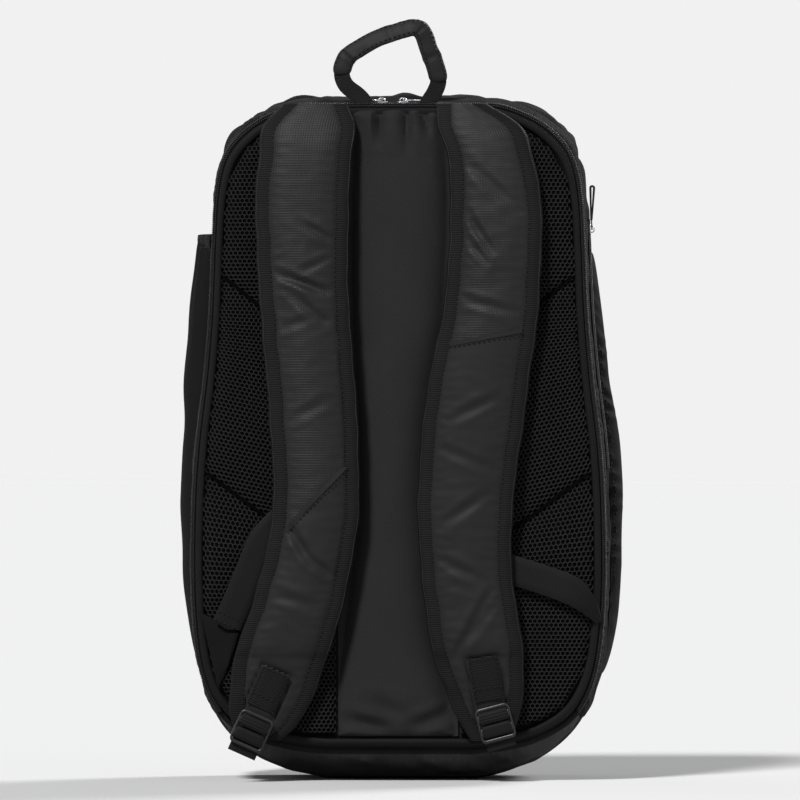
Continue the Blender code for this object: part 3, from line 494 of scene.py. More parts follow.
def loft(rings, wrap=False, finish=0):
    """Closed body through rings of an even count of points: a loop, or with filled ends."""
    rings = np.asarray(rings, float)
    count, size = rings.shape[:2]
    index = np.arange(count * size).reshape(count, size)
    index = np.concatenate([index, index[:, :1]], 1)
    if wrap:
        index = np.concatenate([index, index[:1]])
    points = rings.reshape(-1, 3)
    spread = points[index]
    steps = np.linalg.norm(np.diff(spread, axis=1), axis=-1)
    u = np.concatenate([np.zeros((len(index), 1)), np.cumsum(steps, 1)], 1)
    u = u - u[:, [size // 4]]
    steps = np.linalg.norm(np.diff(spread, axis=0), axis=-1).mean(1)
    v = np.broadcast_to(np.concatenate([[0.0], np.cumsum(steps)])[:, None], u.shape)
    flat = np.stack([u, v], -1)
    faces, places = [corners(index)], [corners(flat)]
    if not wrap:
        step = np.arange(size // 2 - 1)
        ladder = np.stack([step, step + 1, size - 2 - step, size - 1 - step], -1)
        for end in (0, count - 1):
            faces.append(index[end][ladder])
            places.append(flat[end][ladder])
    faces = np.concatenate(faces)
    a, b, c, d = (points[faces[:, k]] for k in range(4))
    if (a * (np.cross(b, c) + np.cross(c, d))).sum() < 0:
        faces = faces[:, ::-1]
        places = [place[:, ::-1] for place in places]
    return points, faces, np.concatenate(places), np.full(len(faces), finish)


def sheet(face, back, finish=0):
    """Closed body between two grids of points of the same size."""
    return loft(np.concatenate([face, back[:, ::-1]], 1), finish=finish)


def settle(name, grid, held, slack, push, stiffness, cap):
    """Let a grid of cloth find its folds. Held points stay, slack is its spare length, push swells it."""
    scene = bpy.context.scene
    index = np.arange(held.size).reshape(held.shape)
    mesh = bpy.data.meshes.new(name)
    mesh.from_pydata((grid.reshape(-1, 3) * CLOTH_SCALE).tolist(), [], corners(index).tolist())
    cloth = bpy.data.objects.new(name, mesh)
    scene.collection.objects.link(cloth)
    for title, weights in (("held", held), ("loose", slack / slack.max())):
        group = cloth.vertex_groups.new(name=title)
        for spot, weight in enumerate(np.broadcast_to(weights, held.shape).ravel().tolist()):
            group.add([spot], float(weight), "REPLACE")
    modifier = cloth.modifiers.new("Settle", "CLOTH")
    settings = modifier.settings
    settings.quality = CLOTH_QUALITY
    settings.mass = CLOTH_MASS
    settings.tension_stiffness = CLOTH_STRETCH
    settings.compression_stiffness = CLOTH_STRETCH
    settings.shear_stiffness = CLOTH_SHEAR
    settings.bending_stiffness = stiffness
    settings.vertex_group_mass = "held"
    settings.shrink_min = 0.0
    settings.shrink_max = -float(slack.max())
    settings.vertex_group_shrink = "loose"
    settings.use_pressure = True
    settings.uniform_pressure_force = push
    settings.effector_weights.gravity = 0.0
    modifier.point_cache.frame_end = CLOTH_FRAMES
    for step in range(1, CLOTH_FRAMES + 1):
        scene.frame_set(step)
    settled = cloth.evaluated_get(bpy.context.evaluated_depsgraph_get()).data
    points = np.empty(grid.size)
    settled.vertices.foreach_get("co", points)
    bpy.data.objects.remove(cloth)
    scene.frame_set(1)
    moved = points.reshape(grid.shape) / CLOTH_SCALE - grid
    reach = np.linalg.norm(moved, axis=-1, keepdims=True)
    return grid + moved * np.minimum(1.0, cap / np.maximum(reach, 1e-9))


def place_piece(piece, body, nodes=()):
    """Set a finished piece on its body, and hide the frame's parts that it stands for."""
    if body in BENDS:
        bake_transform(piece)
    elif body is not None:
        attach(piece, body)
    if nodes:
        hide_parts(*nodes)
    return piece


def link_mesh(name, mesh, finishes, sharp=42.0):
    """Object for a mesh, with its finishes, smooth but for edges sharper than an angle."""
    mesh.shade_smooth()
    mesh.set_sharp_from_angle(angle=math.radians(sharp))
    for finish in finishes:
        mesh.materials.append(FINISHES[finish])
    piece = bpy.data.objects.new(name, mesh)
    bpy.context.scene.collection.objects.link(piece)
    return piece


def add(name, parts, finishes, body, nodes=()):
    """Make one piece from closed parts, each with its points, faces, cloth places and finishes."""
    start = 0
    points, faces = [], []
    for part in parts:
        points.append(part[0])
        faces.append(part[1] + start)
        start += len(part[0])
    mesh = bpy.data.meshes.new(name)
    mesh.from_pydata(np.concatenate(points).tolist(), [], np.concatenate(faces).tolist())
    flat = mesh.uv_layers.new(name="Cloth")
    flat.uv.foreach_set("vector", np.concatenate([part[2] for part in parts]).ravel())
    mesh.polygons.foreach_set("material_index", np.concatenate([part[3] for part in parts]))
    return place_piece(link_mesh(name, mesh, finishes), body, nodes)


def add_solid(name, bm, finish, body, nodes, place=None, round_off=0.0):
    """Make one rigid piece from a bmesh, with its sharp edges rounded off."""
    bmesh.ops.recalc_face_normals(bm, faces=bm.faces)
    if round_off:
        edges = [e for e in bm.edges if e.is_manifold and e.calc_face_angle() > math.radians(25)]
        bmesh.ops.bevel(bm, geom=edges, offset=round_off, segments=2, profile=0.6, affect="EDGES",
                        clamp_overlap=True)
    if place is not None:
        bm.transform(place)
    mesh = bpy.data.meshes.new(name)
    bm.to_mesh(mesh)
    bm.free()
    return place_piece(link_mesh(name, mesh, [finish], 60.0), body, nodes)


def sew(body, points, facing):
    """Keep a line of stitches for the stitching of one body."""
    points = np.asarray(points, float)
    SEWN.setdefault(body, []).append((points, np.broadcast_to(facing, points.shape)))


def line_mesh(name, lines):
    """Mesh of polylines whose points carry the direction they face."""
    points, facings, edges = [], [], []
    start = 0
    for line, facing in lines:
        points += line.tolist()
        facings.append(facing)
        edges += [(start + i, start + i + 1) for i in range(len(line) - 1)]
        start += len(line)
    mesh = bpy.data.meshes.new(name)
    mesh.from_pydata(points, edges, [])
    facing = mesh.attributes.new("facing", "FLOAT_VECTOR", "POINT")
    facing.data.foreach_set("vector", np.concatenate(facings).astype(np.float32).ravel())
    return mesh


def node(tree, kind, inputs=None, **settings):
    """Add a node, set it up, and link or fill its inputs."""
    made = tree.nodes.new(kind)
    for key, value in settings.items():
        setattr(made, key, value)
    for key, value in (inputs or {}).items():
        if isinstance(value, bpy.types.NodeSocket):
            tree.links.new(value, made.inputs[key])
        else:
            made.inputs[key].default_value = value
    return made


def sums(tree, operation, *values):
    """Result of a maths node."""
    return node(tree, "ShaderNodeMath", dict(enumerate(values)), operation=operation).outputs[0]


def plus(tree, first, second):
    """Sum of two values or sockets."""
    return sums(tree, "ADD", first, second)


def times(tree, first, second):
    """Product of two values or sockets."""
    return sums(tree, "MULTIPLY", first, second)


def vectors(tree, operation, *values):
    """Result of a vector maths node."""
    keys = ("Vector", "Scale") if operation == "SCALE" else (0, 1)
    return node(tree, "ShaderNodeVectorMath", dict(zip(keys, values)), operation=operation).outputs[0]


def new_tree(name, kind, inputs, outputs):
    """Node group with its named inputs (name, socket, default) and outputs (name, socket)."""
    tree = bpy.data.node_groups.new(name, kind)
    for title, socket, default in inputs:
        made = tree.interface.new_socket(title, in_out="INPUT", socket_type="NodeSocket" + socket)
        if default is not None:
            made.default_value = default
    for title, socket in outputs:
        tree.interface.new_socket(title, in_out="OUTPUT", socket_type="NodeSocket" + socket)
    return tree, tree.nodes.new("NodeGroupInput"), tree.nodes.new("NodeGroupOutput")


def grow(name, mesh, tree, settings):
    """Plain mesh that a Geometry Nodes tree makes from a base mesh."""
    base = bpy.data.objects.new(name, mesh)
    bpy.context.scene.collection.objects.link(base)
    modifier = base.modifiers.new("Grow", "NODES")
    modifier.node_group = tree
    for item in tree.interface.items_tree:
        if item.item_type == "SOCKET" and item.in_out == "INPUT" and item.name in settings:
            modifier[item.identifier] = settings[item.name]
    base.update_tag()
    evaluated = base.evaluated_get(bpy.context.evaluated_depsgraph_get())
    made = bpy.data.meshes.new_from_object(evaluated)
    base.modifiers.clear()
    base.data = made
    if not made.polygons:
        raise RuntimeError(f"the tree {tree.name} made nothing for {name}")
    return base


def stitch_tree():
    """Short thread stitches along lines."""
    tree, start, end = new_tree("Sewn stitches", "GeometryNodeTree", (
        ("Geometry", "Geometry", None), ("Stitch length", "Float", 0.0026),
        ("Gap", "Float", 0.0011), ("Thread", "Float", 0.0004),
        ("Material", "Material", None),
    ), (("Geometry", "Geometry"),))
    value = start.outputs
    pitch = plus(tree, value["Stitch length"], value["Gap"])
    curve = node(tree, "GeometryNodeMeshToCurve", {"Mesh": value["Geometry"]}).outputs[0]
    places = node(tree, "GeometryNodeResampleCurve", {"Curve": curve, "Length": pitch}, mode="LENGTH")
    half = times(tree, value["Stitch length"], 0.5)
    size = node(tree, "ShaderNodeCombineXYZ", {0: half, 1: value["Thread"], 2: value["Thread"]})
    finish_rows(tree, end, value["Material"], [(places.outputs[0], size.outputs[0], None)])


def finish_rows(tree, end, material, rows):
    """Instance a small rounded form on rows of points, turned along them, and realise it."""
    form = node(tree, "GeometryNodeMeshUVSphere", {"Segments": 6, "Rings": 4, "Radius": 1.0})
    tangent = node(tree, "GeometryNodeInputTangent").outputs[0]
    facing = node(tree, "GeometryNodeInputNamedAttribute", {"Name": "facing"},
                  data_type="FLOAT_VECTOR").outputs[0]
    turn = node(tree, "FunctionNodeAlignRotationToVector", {"Vector": tangent}, axis="X")
    turn = node(tree, "FunctionNodeAlignRotationToVector",
                {"Rotation": turn.outputs[0], "Vector": facing}, axis="Z", pivot_axis="X")
    joined = node(tree, "GeometryNodeJoinGeometry")
    for points, size, offset in rows:
        if offset is not None:
            points = node(tree, "GeometryNodeSetPosition",
                          {"Geometry": points, "Offset": offset(tangent, facing)}).outputs[0]
        made = node(tree, "GeometryNodeInstanceOnPoints", {
            "Points": points, "Instance": form.outputs[0], "Rotation": turn.outputs[0], "Scale": size})
        tree.links.new(made.outputs[0], joined.inputs[0])
    real = node(tree, "GeometryNodeRealizeInstances", {"Geometry": joined.outputs[0]})
    smooth = node(tree, "GeometryNodeSetShadeSmooth", {"Geometry": real.outputs[0]})
    done = node(tree, "GeometryNodeSetMaterial",
                {"Geometry": smooth.outputs[0], "Material": material})
    tree.links.new(done.outputs[0], end.inputs[0])


def coil_tree():
    """Two interlocking rows of zip coil along a line."""
    tree, start, end = new_tree("Zip coil", "GeometryNodeTree", (
        ("Geometry", "Geometry", None), ("Pitch", "Float", 0.0014),
        ("Width", "Float", 0.0046), ("Height", "Float", 0.0011),
        ("Material", "Material", None),
    ), (("Geometry", "Geometry"),))
    value = start.outputs
    curve = node(tree, "GeometryNodeMeshToCurve", {"Mesh": value["Geometry"]}).outputs[0]
    places = node(tree, "GeometryNodeResampleCurve", {"Curve": curve, "Length": value["Pitch"]},
                  mode="LENGTH").outputs[0]
    size = node(tree, "ShaderNodeCombineXYZ", {
        0: times(tree, value["Pitch"], 0.44), 1: times(tree, value["Width"], 0.29),
        2: value["Height"]}).outputs[0]
    step = times(tree, value["Pitch"], 0.5)
    aside = times(tree, value["Width"], 0.25)
    back = times(tree, aside, -1.0)

    def left(tangent, facing):
        return vectors(tree, "SCALE", vectors(tree, "CROSS_PRODUCT", tangent, facing), aside)

    def right(tangent, facing):
        across = vectors(tree, "SCALE", vectors(tree, "CROSS_PRODUCT", tangent, facing), back)
        return vectors(tree, "ADD", across, vectors(tree, "SCALE", tangent, step))

    finish_rows(tree, end, value["Material"], [(places, size, left), (places, size, right)])


def net_tree():
    """Spacer mesh: a rounded hole in every cell of a net of triangles, whose floor takes the near-black
    foam finish as painted shade.
    """
    tree, start, end = new_tree("Spacer mesh", "GeometryNodeTree", (
        ("Geometry", "Geometry", None), ("Hole share", "Float", 0.56),
        ("Depth", "Float", 0.0012), ("Thread", "Material", None),
        ("Foam", "Material", None),
    ), (("Geometry", "Geometry"),))
    value = start.outputs
    net = node(tree, "GeometryNodeDualMesh", {"Mesh": value["Geometry"]}).outputs[0]
    shares = (plus(tree, value["Hole share"], 0.16), value["Hole share"])
    sinks = (times(tree, value["Depth"], -0.25), times(tree, value["Depth"], -0.75))
    inner = None
    for share, sink in ((shares[0], 0.0), (shares[1], sinks[0]), (0.9, sinks[1])):
        inputs = {"Mesh": net, "Offset Scale": sink, "Individual": True}
        if inner is not None:
            inputs["Selection"] = inner
        cut = node(tree, "GeometryNodeExtrudeMesh", inputs)
        inner = cut.outputs["Top"]
        if share is shares[1]:
            share = sums(tree, "DIVIDE", shares[1], shares[0])
        net = node(tree, "GeometryNodeScaleElements",
                   {"Geometry": cut.outputs["Mesh"], "Selection": inner, "Scale": share}).outputs[0]
    net = node(tree, "GeometryNodeRealizeInstances", {"Geometry": net}).outputs[0]
    net = node(tree, "GeometryNodeSetMaterial", {"Geometry": net, "Material": value["Thread"]}).outputs[0]
    # The hole floors take the near-black foam finish: painted shade inside the holes.
    net = node(tree, "GeometryNodeSetMaterial",
               {"Geometry": net, "Selection": inner, "Material": value["Foam"]}).outputs[0]
    tree.links.new(net, end.inputs[0])


def pattern_group(name, height):
    """Shader group that turns a cloth place and a pitch into a thread height from 0 to 1."""
    tree, start, end = new_tree(name, "ShaderNodeTree", (
        ("Place", "Vector", None), ("Pitch", "Float", 0.001),
    ), (("Height", "Float"),))
    turns = sums(tree, "DIVIDE", math.pi, start.outputs["Pitch"])
    place = vectors(tree, "SCALE", start.outputs["Place"], turns)
    x, y = node(tree, "ShaderNodeSeparateXYZ", {0: place}).outputs[:2]
    tree.links.new(height(tree, x, y), end.inputs[0])


def wave(tree, angle):
    """Row of round humps from 0 to 1."""
    return sums(tree, "ABSOLUTE", sums(tree, "SINE", angle))


def plain_weave(tree, x, y):
    """Threads going over and under in turn."""
    over = times(tree, sums(tree, "SINE", x), sums(tree, "SINE", y))
    over = sums(tree, "GREATER_THAN", over, 0.0)
    under = sums(tree, "SUBTRACT", 1.0, over)
    return plus(tree, times(tree, over, wave(tree, x)), times(tree, under, wave(tree, y)))


def grid_weave(tree, x, y):
    """Thin raised threads crossing over a finer ground."""
    lines = sums(tree, "MAXIMUM", sums(tree, "POWER", wave(tree, x), 7.0),
                 sums(tree, "POWER", wave(tree, y), 7.0))
    ground = times(tree, wave(tree, times(tree, x, 3.0)), wave(tree, times(tree, y, 3.0)))
    return plus(tree, times(tree, lines, 0.75), times(tree, ground, 0.25))


def cross_ribs(tree, x, y):
    """Ribs across the length of a tape."""
    fine = wave(tree, times(tree, x, 2.2))
    return plus(tree, times(tree, wave(tree, y), 0.85), times(tree, fine, 0.15))


def twill_ribs(tree, x, y):
    """Ribs along a webbing, broken by a slanting twill."""
    slant = plus(tree, times(tree, x, 0.5), y)
    return plus(tree, times(tree, wave(tree, x), 0.6), times(tree, wave(tree, slant), 0.4))


def soft_nap(tree, x, y):
    """Short fibres lying every way."""
    place = node(tree, "ShaderNodeCombineXYZ", {0: x, 1: y}).outputs[0]
    fibres = node(tree, "ShaderNodeTexNoise", {"Vector": place, "Scale": 0.5, "Detail": 3.0}).outputs[0]
    return sums(tree, "MULTIPLY_ADD", fibres, 2.6, -0.8)


def marks_group():
    """Shader group for handling marks: soft mottling with a little lint, from 0 to 1."""
    tree, start, end = new_tree("Handling marks", "ShaderNodeTree", (
        ("Place", "Vector", None), ("Size", "Float", 0.05),
    ), (("Mask", "Float"),))
    place = vectors(tree, "SCALE", start.outputs["Place"], sums(tree, "DIVIDE", 1.0, start.outputs["Size"]))
    soft = node(tree, "ShaderNodeTexNoise", {"Vector": place, "Scale": 1.0, "Detail": 4.0}).outputs[0]
    fine = node(tree, "ShaderNodeTexNoise", {"Vector": place, "Scale": 34.0, "Detail": 2.0}).outputs[0]
    lint = times(tree, sums(tree, "GREATER_THAN", fine, 0.74), 0.5)
    tree.links.new(plus(tree, times(tree, soft, 0.8), lint), end.inputs[0])


def finish_material(name, colour, pattern, pitch, depth, roughness, gloss=0.12, spread=0.5, metal=0.0,
                    coordinate="UV"):
    """Material whose threads emboss a colour and paint their shade into it, lighter on top and darker
    between, with handling marks over it.
    """
    material = bpy.data.materials.new(f"bag_{name}")
    FINISHES[name] = material
    material.use_nodes = True
    tree = material.node_tree
    shader = tree.nodes["Principled BSDF"]
    shader.inputs["Roughness"].default_value = roughness
    shader.inputs["Metallic"].default_value = metal
    shader.inputs["Specular IOR Level"].default_value = gloss
    spot = tree.nodes.new("ShaderNodeTexCoord").outputs
    marks = node(tree, "ShaderNodeGroup", node_tree=bpy.data.node_groups["Handling marks"])
    tree.links.new(spot["Object"], marks.inputs["Place"])
    cloth = node(tree, "ShaderNodeGroup", node_tree=bpy.data.node_groups[pattern])
    cloth.inputs["Pitch"].default_value = pitch
    tree.links.new(spot[coordinate], cloth.inputs["Place"])
    # Painted shade of the weave, with raised threads lighter and the gaps darker, mixed with the real
    # mottling and lint of the handling marks.
    weave_shade_and_marks = plus(tree, times(tree, cloth.outputs[0], 0.6), times(tree, marks.outputs[0], 0.5))
    low = [channel * (1 - spread) for channel in colour]
    high = [channel * (1 + spread) for channel in colour]
    mix = node(tree, "ShaderNodeMix", data_type="RGBA")
    tree.links.new(weave_shade_and_marks, mix.inputs["Factor"])
    mix.inputs[6].default_value = (*low, 1.0)
    mix.inputs[7].default_value = (*high, 1.0)
    tree.links.new(mix.outputs[2], shader.inputs["Base Color"])
    relief = plus(tree, cloth.outputs[0], times(tree, marks.outputs[0], 0.4))
    bump = node(tree, "ShaderNodeBump", {"Height": relief, "Distance": depth, "Strength": 0.8})
    tree.links.new(bump.outputs[0], shader.inputs["Normal"])


def make_finishes():
    """All materials, and the shader groups that they share.

    Rows hold a name, colour, weave, pitch, relief, roughness, gloss, spread of shades and metal.
    """
    weaves = (("Plain weave", plain_weave), ("Grid weave", grid_weave), ("Cross ribs", cross_ribs),
              ("Twill ribs", twill_ribs), ("Soft nap", soft_nap))
    for name, height in weaves:
        pattern_group(name, height)
    marks_group()
    tint = colours()
    woven = (
        ("ripstop", tint.ripstop, "Grid weave", 0.0019, 0.00020, 0.42, 0.14, 0.45),
        ("polyester", tint.polyester, "Soft nap", 0.0012, 0.00005, 0.54, 0.09, 0.22),
        ("shell", tint.shell, "Plain weave", 0.0011, 0.0001, 0.82, 0.03),
        ("base_fabric", tint.base, "Plain weave", 0.0011, 0.0001, 0.75, 0.05),
        ("edge_fabric", tint.binding, "Plain weave", 0.0010, 0.0001, 0.60, 0.08),
        ("soft_fabric", tint.spine, "Soft nap", 0.0014, 0.00008, 0.80, 0.06, 0.35),
        ("binding", tint.binding, "Cross ribs", 0.0017, 0.00035, 0.60, 0.08, 0.75),
        ("webbing", tint.webbing, "Twill ribs", 0.0015, 0.00020, 0.55, 0.08, 0.55),
        ("cross_webbing", tint.webbing, "Cross ribs", 0.0018, 0.00030, 0.55, 0.08, 0.75),
        ("handle_fabric", tint.handle, "Plain weave", 0.0012, 0.00010, 0.50, 0.12, 0.4),
        ("lining", tint.lining, "Plain weave", 0.0009, 0.0001, 0.75, 0.05),
        ("board", tint.shell, "Plain weave", 0.0012, 0.0001, 0.80, 0.04),
        ("zip_tape", tint.binding, "Twill ribs", 0.0010, 0.0001, 0.75, 0.05),
    )
    solid = (
        ("spacer_mesh", tint.mesh, "Plain weave", 0.0008, 0.0001, 0.60, 0.04),
        ("foam", tint.foam, "Plain weave", 0.0012, 0.0001, 0.95, 0.02),
        ("coil", tint.plastic, "Plain weave", 0.0010, 0.00003, 0.42, 0.20),
        ("thread", tint.thread, "Cross ribs", 0.0006, 0.00008, 0.50, 0.15),
        ("plastic", tint.plastic, "Plain weave", 0.0016, 0.00002, 0.32, 0.30),
        ("metal", tint.metal, "Plain weave", 0.0016, 0.00001, 0.22, 0.5, 0.2, 1.0),
    )
    for row in woven:
        finish_material(*row)
    for row in solid:
        finish_material(*row, coordinate="Object")


def pillow(low, high, inner, outer, flat_y, toward, thick, rows, columns, climb=0.0):
    """Grids over the crowned face and the flat back of a pad between two edges given over height."""
    row = (1 - np.cos(np.linspace(0.0, np.pi, rows))) / 2
    share = (1 - np.cos(np.linspace(0.0, np.pi, columns))) / 2
    row, share = np.meshgrid(row, share, indexing="ij")
    z = low + (high - low) * row + climb * np.sin(np.pi * row) * (share - 0.5)
    x = inner(z) + (outer(z) - inner(z)) * share
    face = np.stack([x, flat_y + toward * thick(x, z, row, share), z], -1)
    return face, np.stack([x, np.full_like(x, flat_y), z], -1)


def rim_of(grid):
    """Mask of a grid's border."""
    mask = np.ones(grid.shape[:2], bool)
    mask[1:-1, 1:-1] = False
    return mask


def shell_ring(y, depth):
    """Ring of points round the bag's shell."""
    return shell(np.linspace(-1, 1, RING_POINTS, endpoint=False), y, depth)


def spine_half(z):
    """Half width of the spine pad at heights."""
    return read(smooth_curve(SPINE_SHAPE, 8), z, 1)


def pad_inner(sign):
    """X of a mesh pad's edge at the spine, over height."""
    return lambda z: sign * (spine_half(z) + SPINE_PAD_SPACE)


def pad_outer(sign):
    """X of a mesh pad's edge at the binding, over height."""
    return lambda z: sign * half_width(z, BOARD_BACK_Y, PAD_INSET)


def pad_thickness(sign, x, z, row, share):
    """Height of a pad's face, with rolled edges, a crown, sewn channels and soft lumps."""
    width = np.abs(pad_outer(sign)(z) - pad_inner(sign)(z))
    ends = np.minimum(row, 1 - row) * PAD_SPAN
    edge = np.minimum(np.minimum(1.6 * share, 1 - share) * width, 1.6 * ends)
    rise = rolled(edge, PAD_ROLL)
    crown = (1 - np.abs(2 * share - 1) ** 4) * (1 - np.abs(2 * row - 1) ** 10)
    thick = PAD_RIM + PAD_RISE * rise + PAD_CROWN * crown
    for channel in CHANNELS:
        for reach, depth in CHANNEL_DIPS:
            thick = thick - depth * rise * np.exp(-np.abs(row - channel) / reach)
    return thick + PAD_LUMPS * rise * wrinkle(np.stack([x, 0 * x, z], -1), 0.04, 3)


def pad_place(sign, x, z):
    """Row and share of places on a mesh pad, undoing the climb of its rows."""
    inner, outer = pad_inner(sign)(z), pad_outer(sign)(z)
    share = np.clip((x - inner) / (outer - inner), 0.0, 1.0)
    level = (z - PAD_LOW_Z) / PAD_SPAN
    row = np.clip(level, 0.0, 1.0)
    for _ in range(6):
        row = np.clip(level - CHANNEL_CLIMB / PAD_SPAN * np.sin(np.pi * row) * (share - 0.5), 0.0, 1.0)
    return row, share


def net_base(name, sign):
    """Net of triangles over a mesh pad, with one point where each hole goes."""
    pitch = sizes().hole_pitch
    levels = np.arange(NET_LOW_Z, NET_HIGH_Z, pitch * math.sqrt(0.75))
    columns = np.arange(0.010, 0.160, pitch)
    odd = (np.arange(len(levels)) % 2)[:, None]
    x = sign * (columns[None, :] + odd * pitch / 2)
    z = np.broadcast_to(levels[:, None], x.shape)
    slant = NET_SLANT * np.exp(-((z - NET_SLANT_MIDDLE) / NET_SLANT_REACH) ** 4)
    z = z + slant * (np.abs(x) - columns.mean())
    y = PAD_FLAT_Y - pad_thickness(sign, x, z, *pad_place(sign, x, z)) - NET_LIFT
    beyond = sign * (x - pad_outer(sign)(z))
    before = sign * (pad_inner(sign)(z) - x)
    inside = (beyond < NET_OVERLAP) & (before < NET_OVERLAP)
    index = np.arange(x.size).reshape(x.shape)
    a, b, c, d = index[:-1, :-1], index[:-1, 1:], index[1:, :-1], index[1:, 1:]
    even = np.stack([np.stack([a, b, c], -1), np.stack([b, d, c], -1)], 2)
    other = np.stack([np.stack([a, d, c], -1), np.stack([a, b, d], -1)], 2)
    faces = np.where(odd[:-1, :, None, None] == 0, even, other).reshape(-1, 3)
    faces = faces[inside.ravel()[faces].all(1)]
    if sign < 0:
        faces = faces[:, ::-1]
    used, packed = np.unique(faces, return_inverse=True)
    points = np.stack([x, y, z], -1).reshape(-1, 3)[used]
    mesh = bpy.data.meshes.new(name)
    mesh.from_pydata(points.tolist(), [], packed.reshape(-1, 3).tolist())
    return mesh


def spine_thickness(x, z, row, share):
    """Height of the spine pad's face, gathered at its top."""
    width = 2 * spine_half(z)
    edge = np.minimum(np.minimum(share, 1 - share) * width, 2.5 * np.minimum(row, 1 - row) * PAD_SPAN)
    crown = (1 - np.abs(2 * share - 1) ** 2.2) * (1 - np.abs(2 * row - 1) ** 10)
    gathered = GATHER_RISE * np.clip((z - SPINE_HIGH_Z + GATHER_DROP) / GATHER_RAMP, 0.0, 1.0)
    thick = SPINE_RIM + (SPINE_RISE + gathered) * rolled(edge, SPINE_ROLL) + SPINE_CROWN * crown
    for side, sign in SIDES:
        rows = strap_rows(side)
        beside = np.interp(z, rows[0][::-1], rows[2 if side == "left" else 1][::-1])
        thick = thick - SPINE_PRESS * np.exp(-np.maximum(sign * (beside - x), 0.0) / SPINE_PRESS_REACH)
    lumps = wrinkle(np.stack([x, 0 * x, z], -1), (0.020, 1.0, 0.05), 5)
    return np.maximum(thick, SPINE_RIM) + 0.0006 * lumps


def spine_folds(x, z):
    """Depth of the gathers at the spine pad's top and of the creases at its foot."""
    depths = creased(x, z, SPINE_CREASES)
    for middle, half, depth, reach, lean in GATHERS:
        pull = np.clip((z - SPINE_HIGH_Z + reach) / reach, 0.0, 1.0) ** 0.8
        away = (x - middle - lean * (SPINE_HIGH_Z - z)) / half
        depths = depths + depth * pull * np.exp(-away**2)
    return depths * np.clip((SPINE_HIGH_Z - z) / 0.002, 0.0, 1.0)


def make_back_panel():
    rings = [shell_ring(y, depth) for y, depth in (
        (BOARD_FRONT_Y, 0.0004), (-0.0800, 0.0004), (-0.0822, 0.0010), (BOARD_BACK_Y, 0.0030))]
    add("board_cover", [loft(rings)], ["board"], "bag", ["back_board"])
    turns = np.linspace(0, 2 * np.pi, 12, endpoint=False)
    shares = np.linspace(-1, 1, 2 * RING_POINTS, endpoint=False)
    rings = shell(shares[:, None], BOARD_BACK_Y, BINDING_INSET + BINDING_RADIUS * np.sin(turns)[None, :])
    flush = np.where(rings[..., 2] > 0.49, 1 - 0.75 * np.exp(-(rings[..., 0] / 0.055) ** 4), 1.0)
    rings[..., 1] = PAD_FLAT_Y - BINDING_HEIGHT * flush * (1 - np.cos(turns)[None, :])
    rings[..., 1] += 0.0003 * wrinkle(rings, 0.012, 2)
    add("edge_binding", [loft(rings, wrap=True)], ["edge_fabric"], "bag", ["back_binding"])
    for side, sign in SIDES:
        grids = pillow(
            PAD_LOW_Z, PAD_HIGH_Z, pad_inner(sign), pad_outer(sign), PAD_FLAT_Y, -1.0,
            lambda x, z, row, share: pad_thickness(sign, x, z, row, share), 170, 44, CHANNEL_CLIMB)
        add(f"back_pad_{side}", [sheet(*grids)], ["foam"], "bag", [f"mesh_pad_{side}"])
        net = grow(f"spacer_mesh_{side}", net_base(f"spacer_mesh_{side}", sign),
                   bpy.data.node_groups["Spacer mesh"], {
                       "Hole share": sizes().hole_share, "Depth": NET_DEPTH,
                       "Thread": FINISHES["spacer_mesh"], "Foam": FINISHES["foam"]})
        place_piece(net, "bag")
        share = np.linspace(0.02, 0.99, 90)
        # A dark strip along each channel paints the shade of its fold.
        shade_strips = []
        for channel in CHANNELS:
            z = PAD_LOW_Z + PAD_SPAN * channel + CHANNEL_CLIMB * np.sin(np.pi * channel) * (share - 0.5)
            x = pad_inner(sign)(z) + (pad_outer(sign)(z) - pad_inner(sign)(z)) * share
            y = PAD_FLAT_Y - pad_thickness(sign, x, z, np.full_like(z, channel), share)
            y = y - NET_LIFT - CHANNEL_SHADE_LIFT
            path = np.stack([x, y, z], -1)
            shade_strips.append(band(path, across_of(path), CHANNEL_SHADE_WIDTH, WEBBING_THICK))
        add(f"channel_shade_strips_{side}", shade_strips, ["foam"], "bag")
    face, back = pillow(PAD_LOW_Z, SPINE_HIGH_Z, lambda z: -spine_half(z), spine_half, PAD_FLAT_Y, -1.0,
                        spine_thickness, 190, 60)
    slack = 0.004 + 0.03 * np.clip((face[..., 2] - 0.462) / 0.042, 0.0, 1.0) ** 1.5
    face = settle("settling_spine", face, rim_of(face), slack, 0.1, 0.5, 0.0014)
    face[..., 1] = np.minimum(face[..., 1] + spine_folds(face[..., 0], face[..., 2]), PAD_FLAT_Y - 0.0008)
    add("spine_cover", [sheet(face, back)], ["soft_fabric"], "bag", ["spine_pad"])


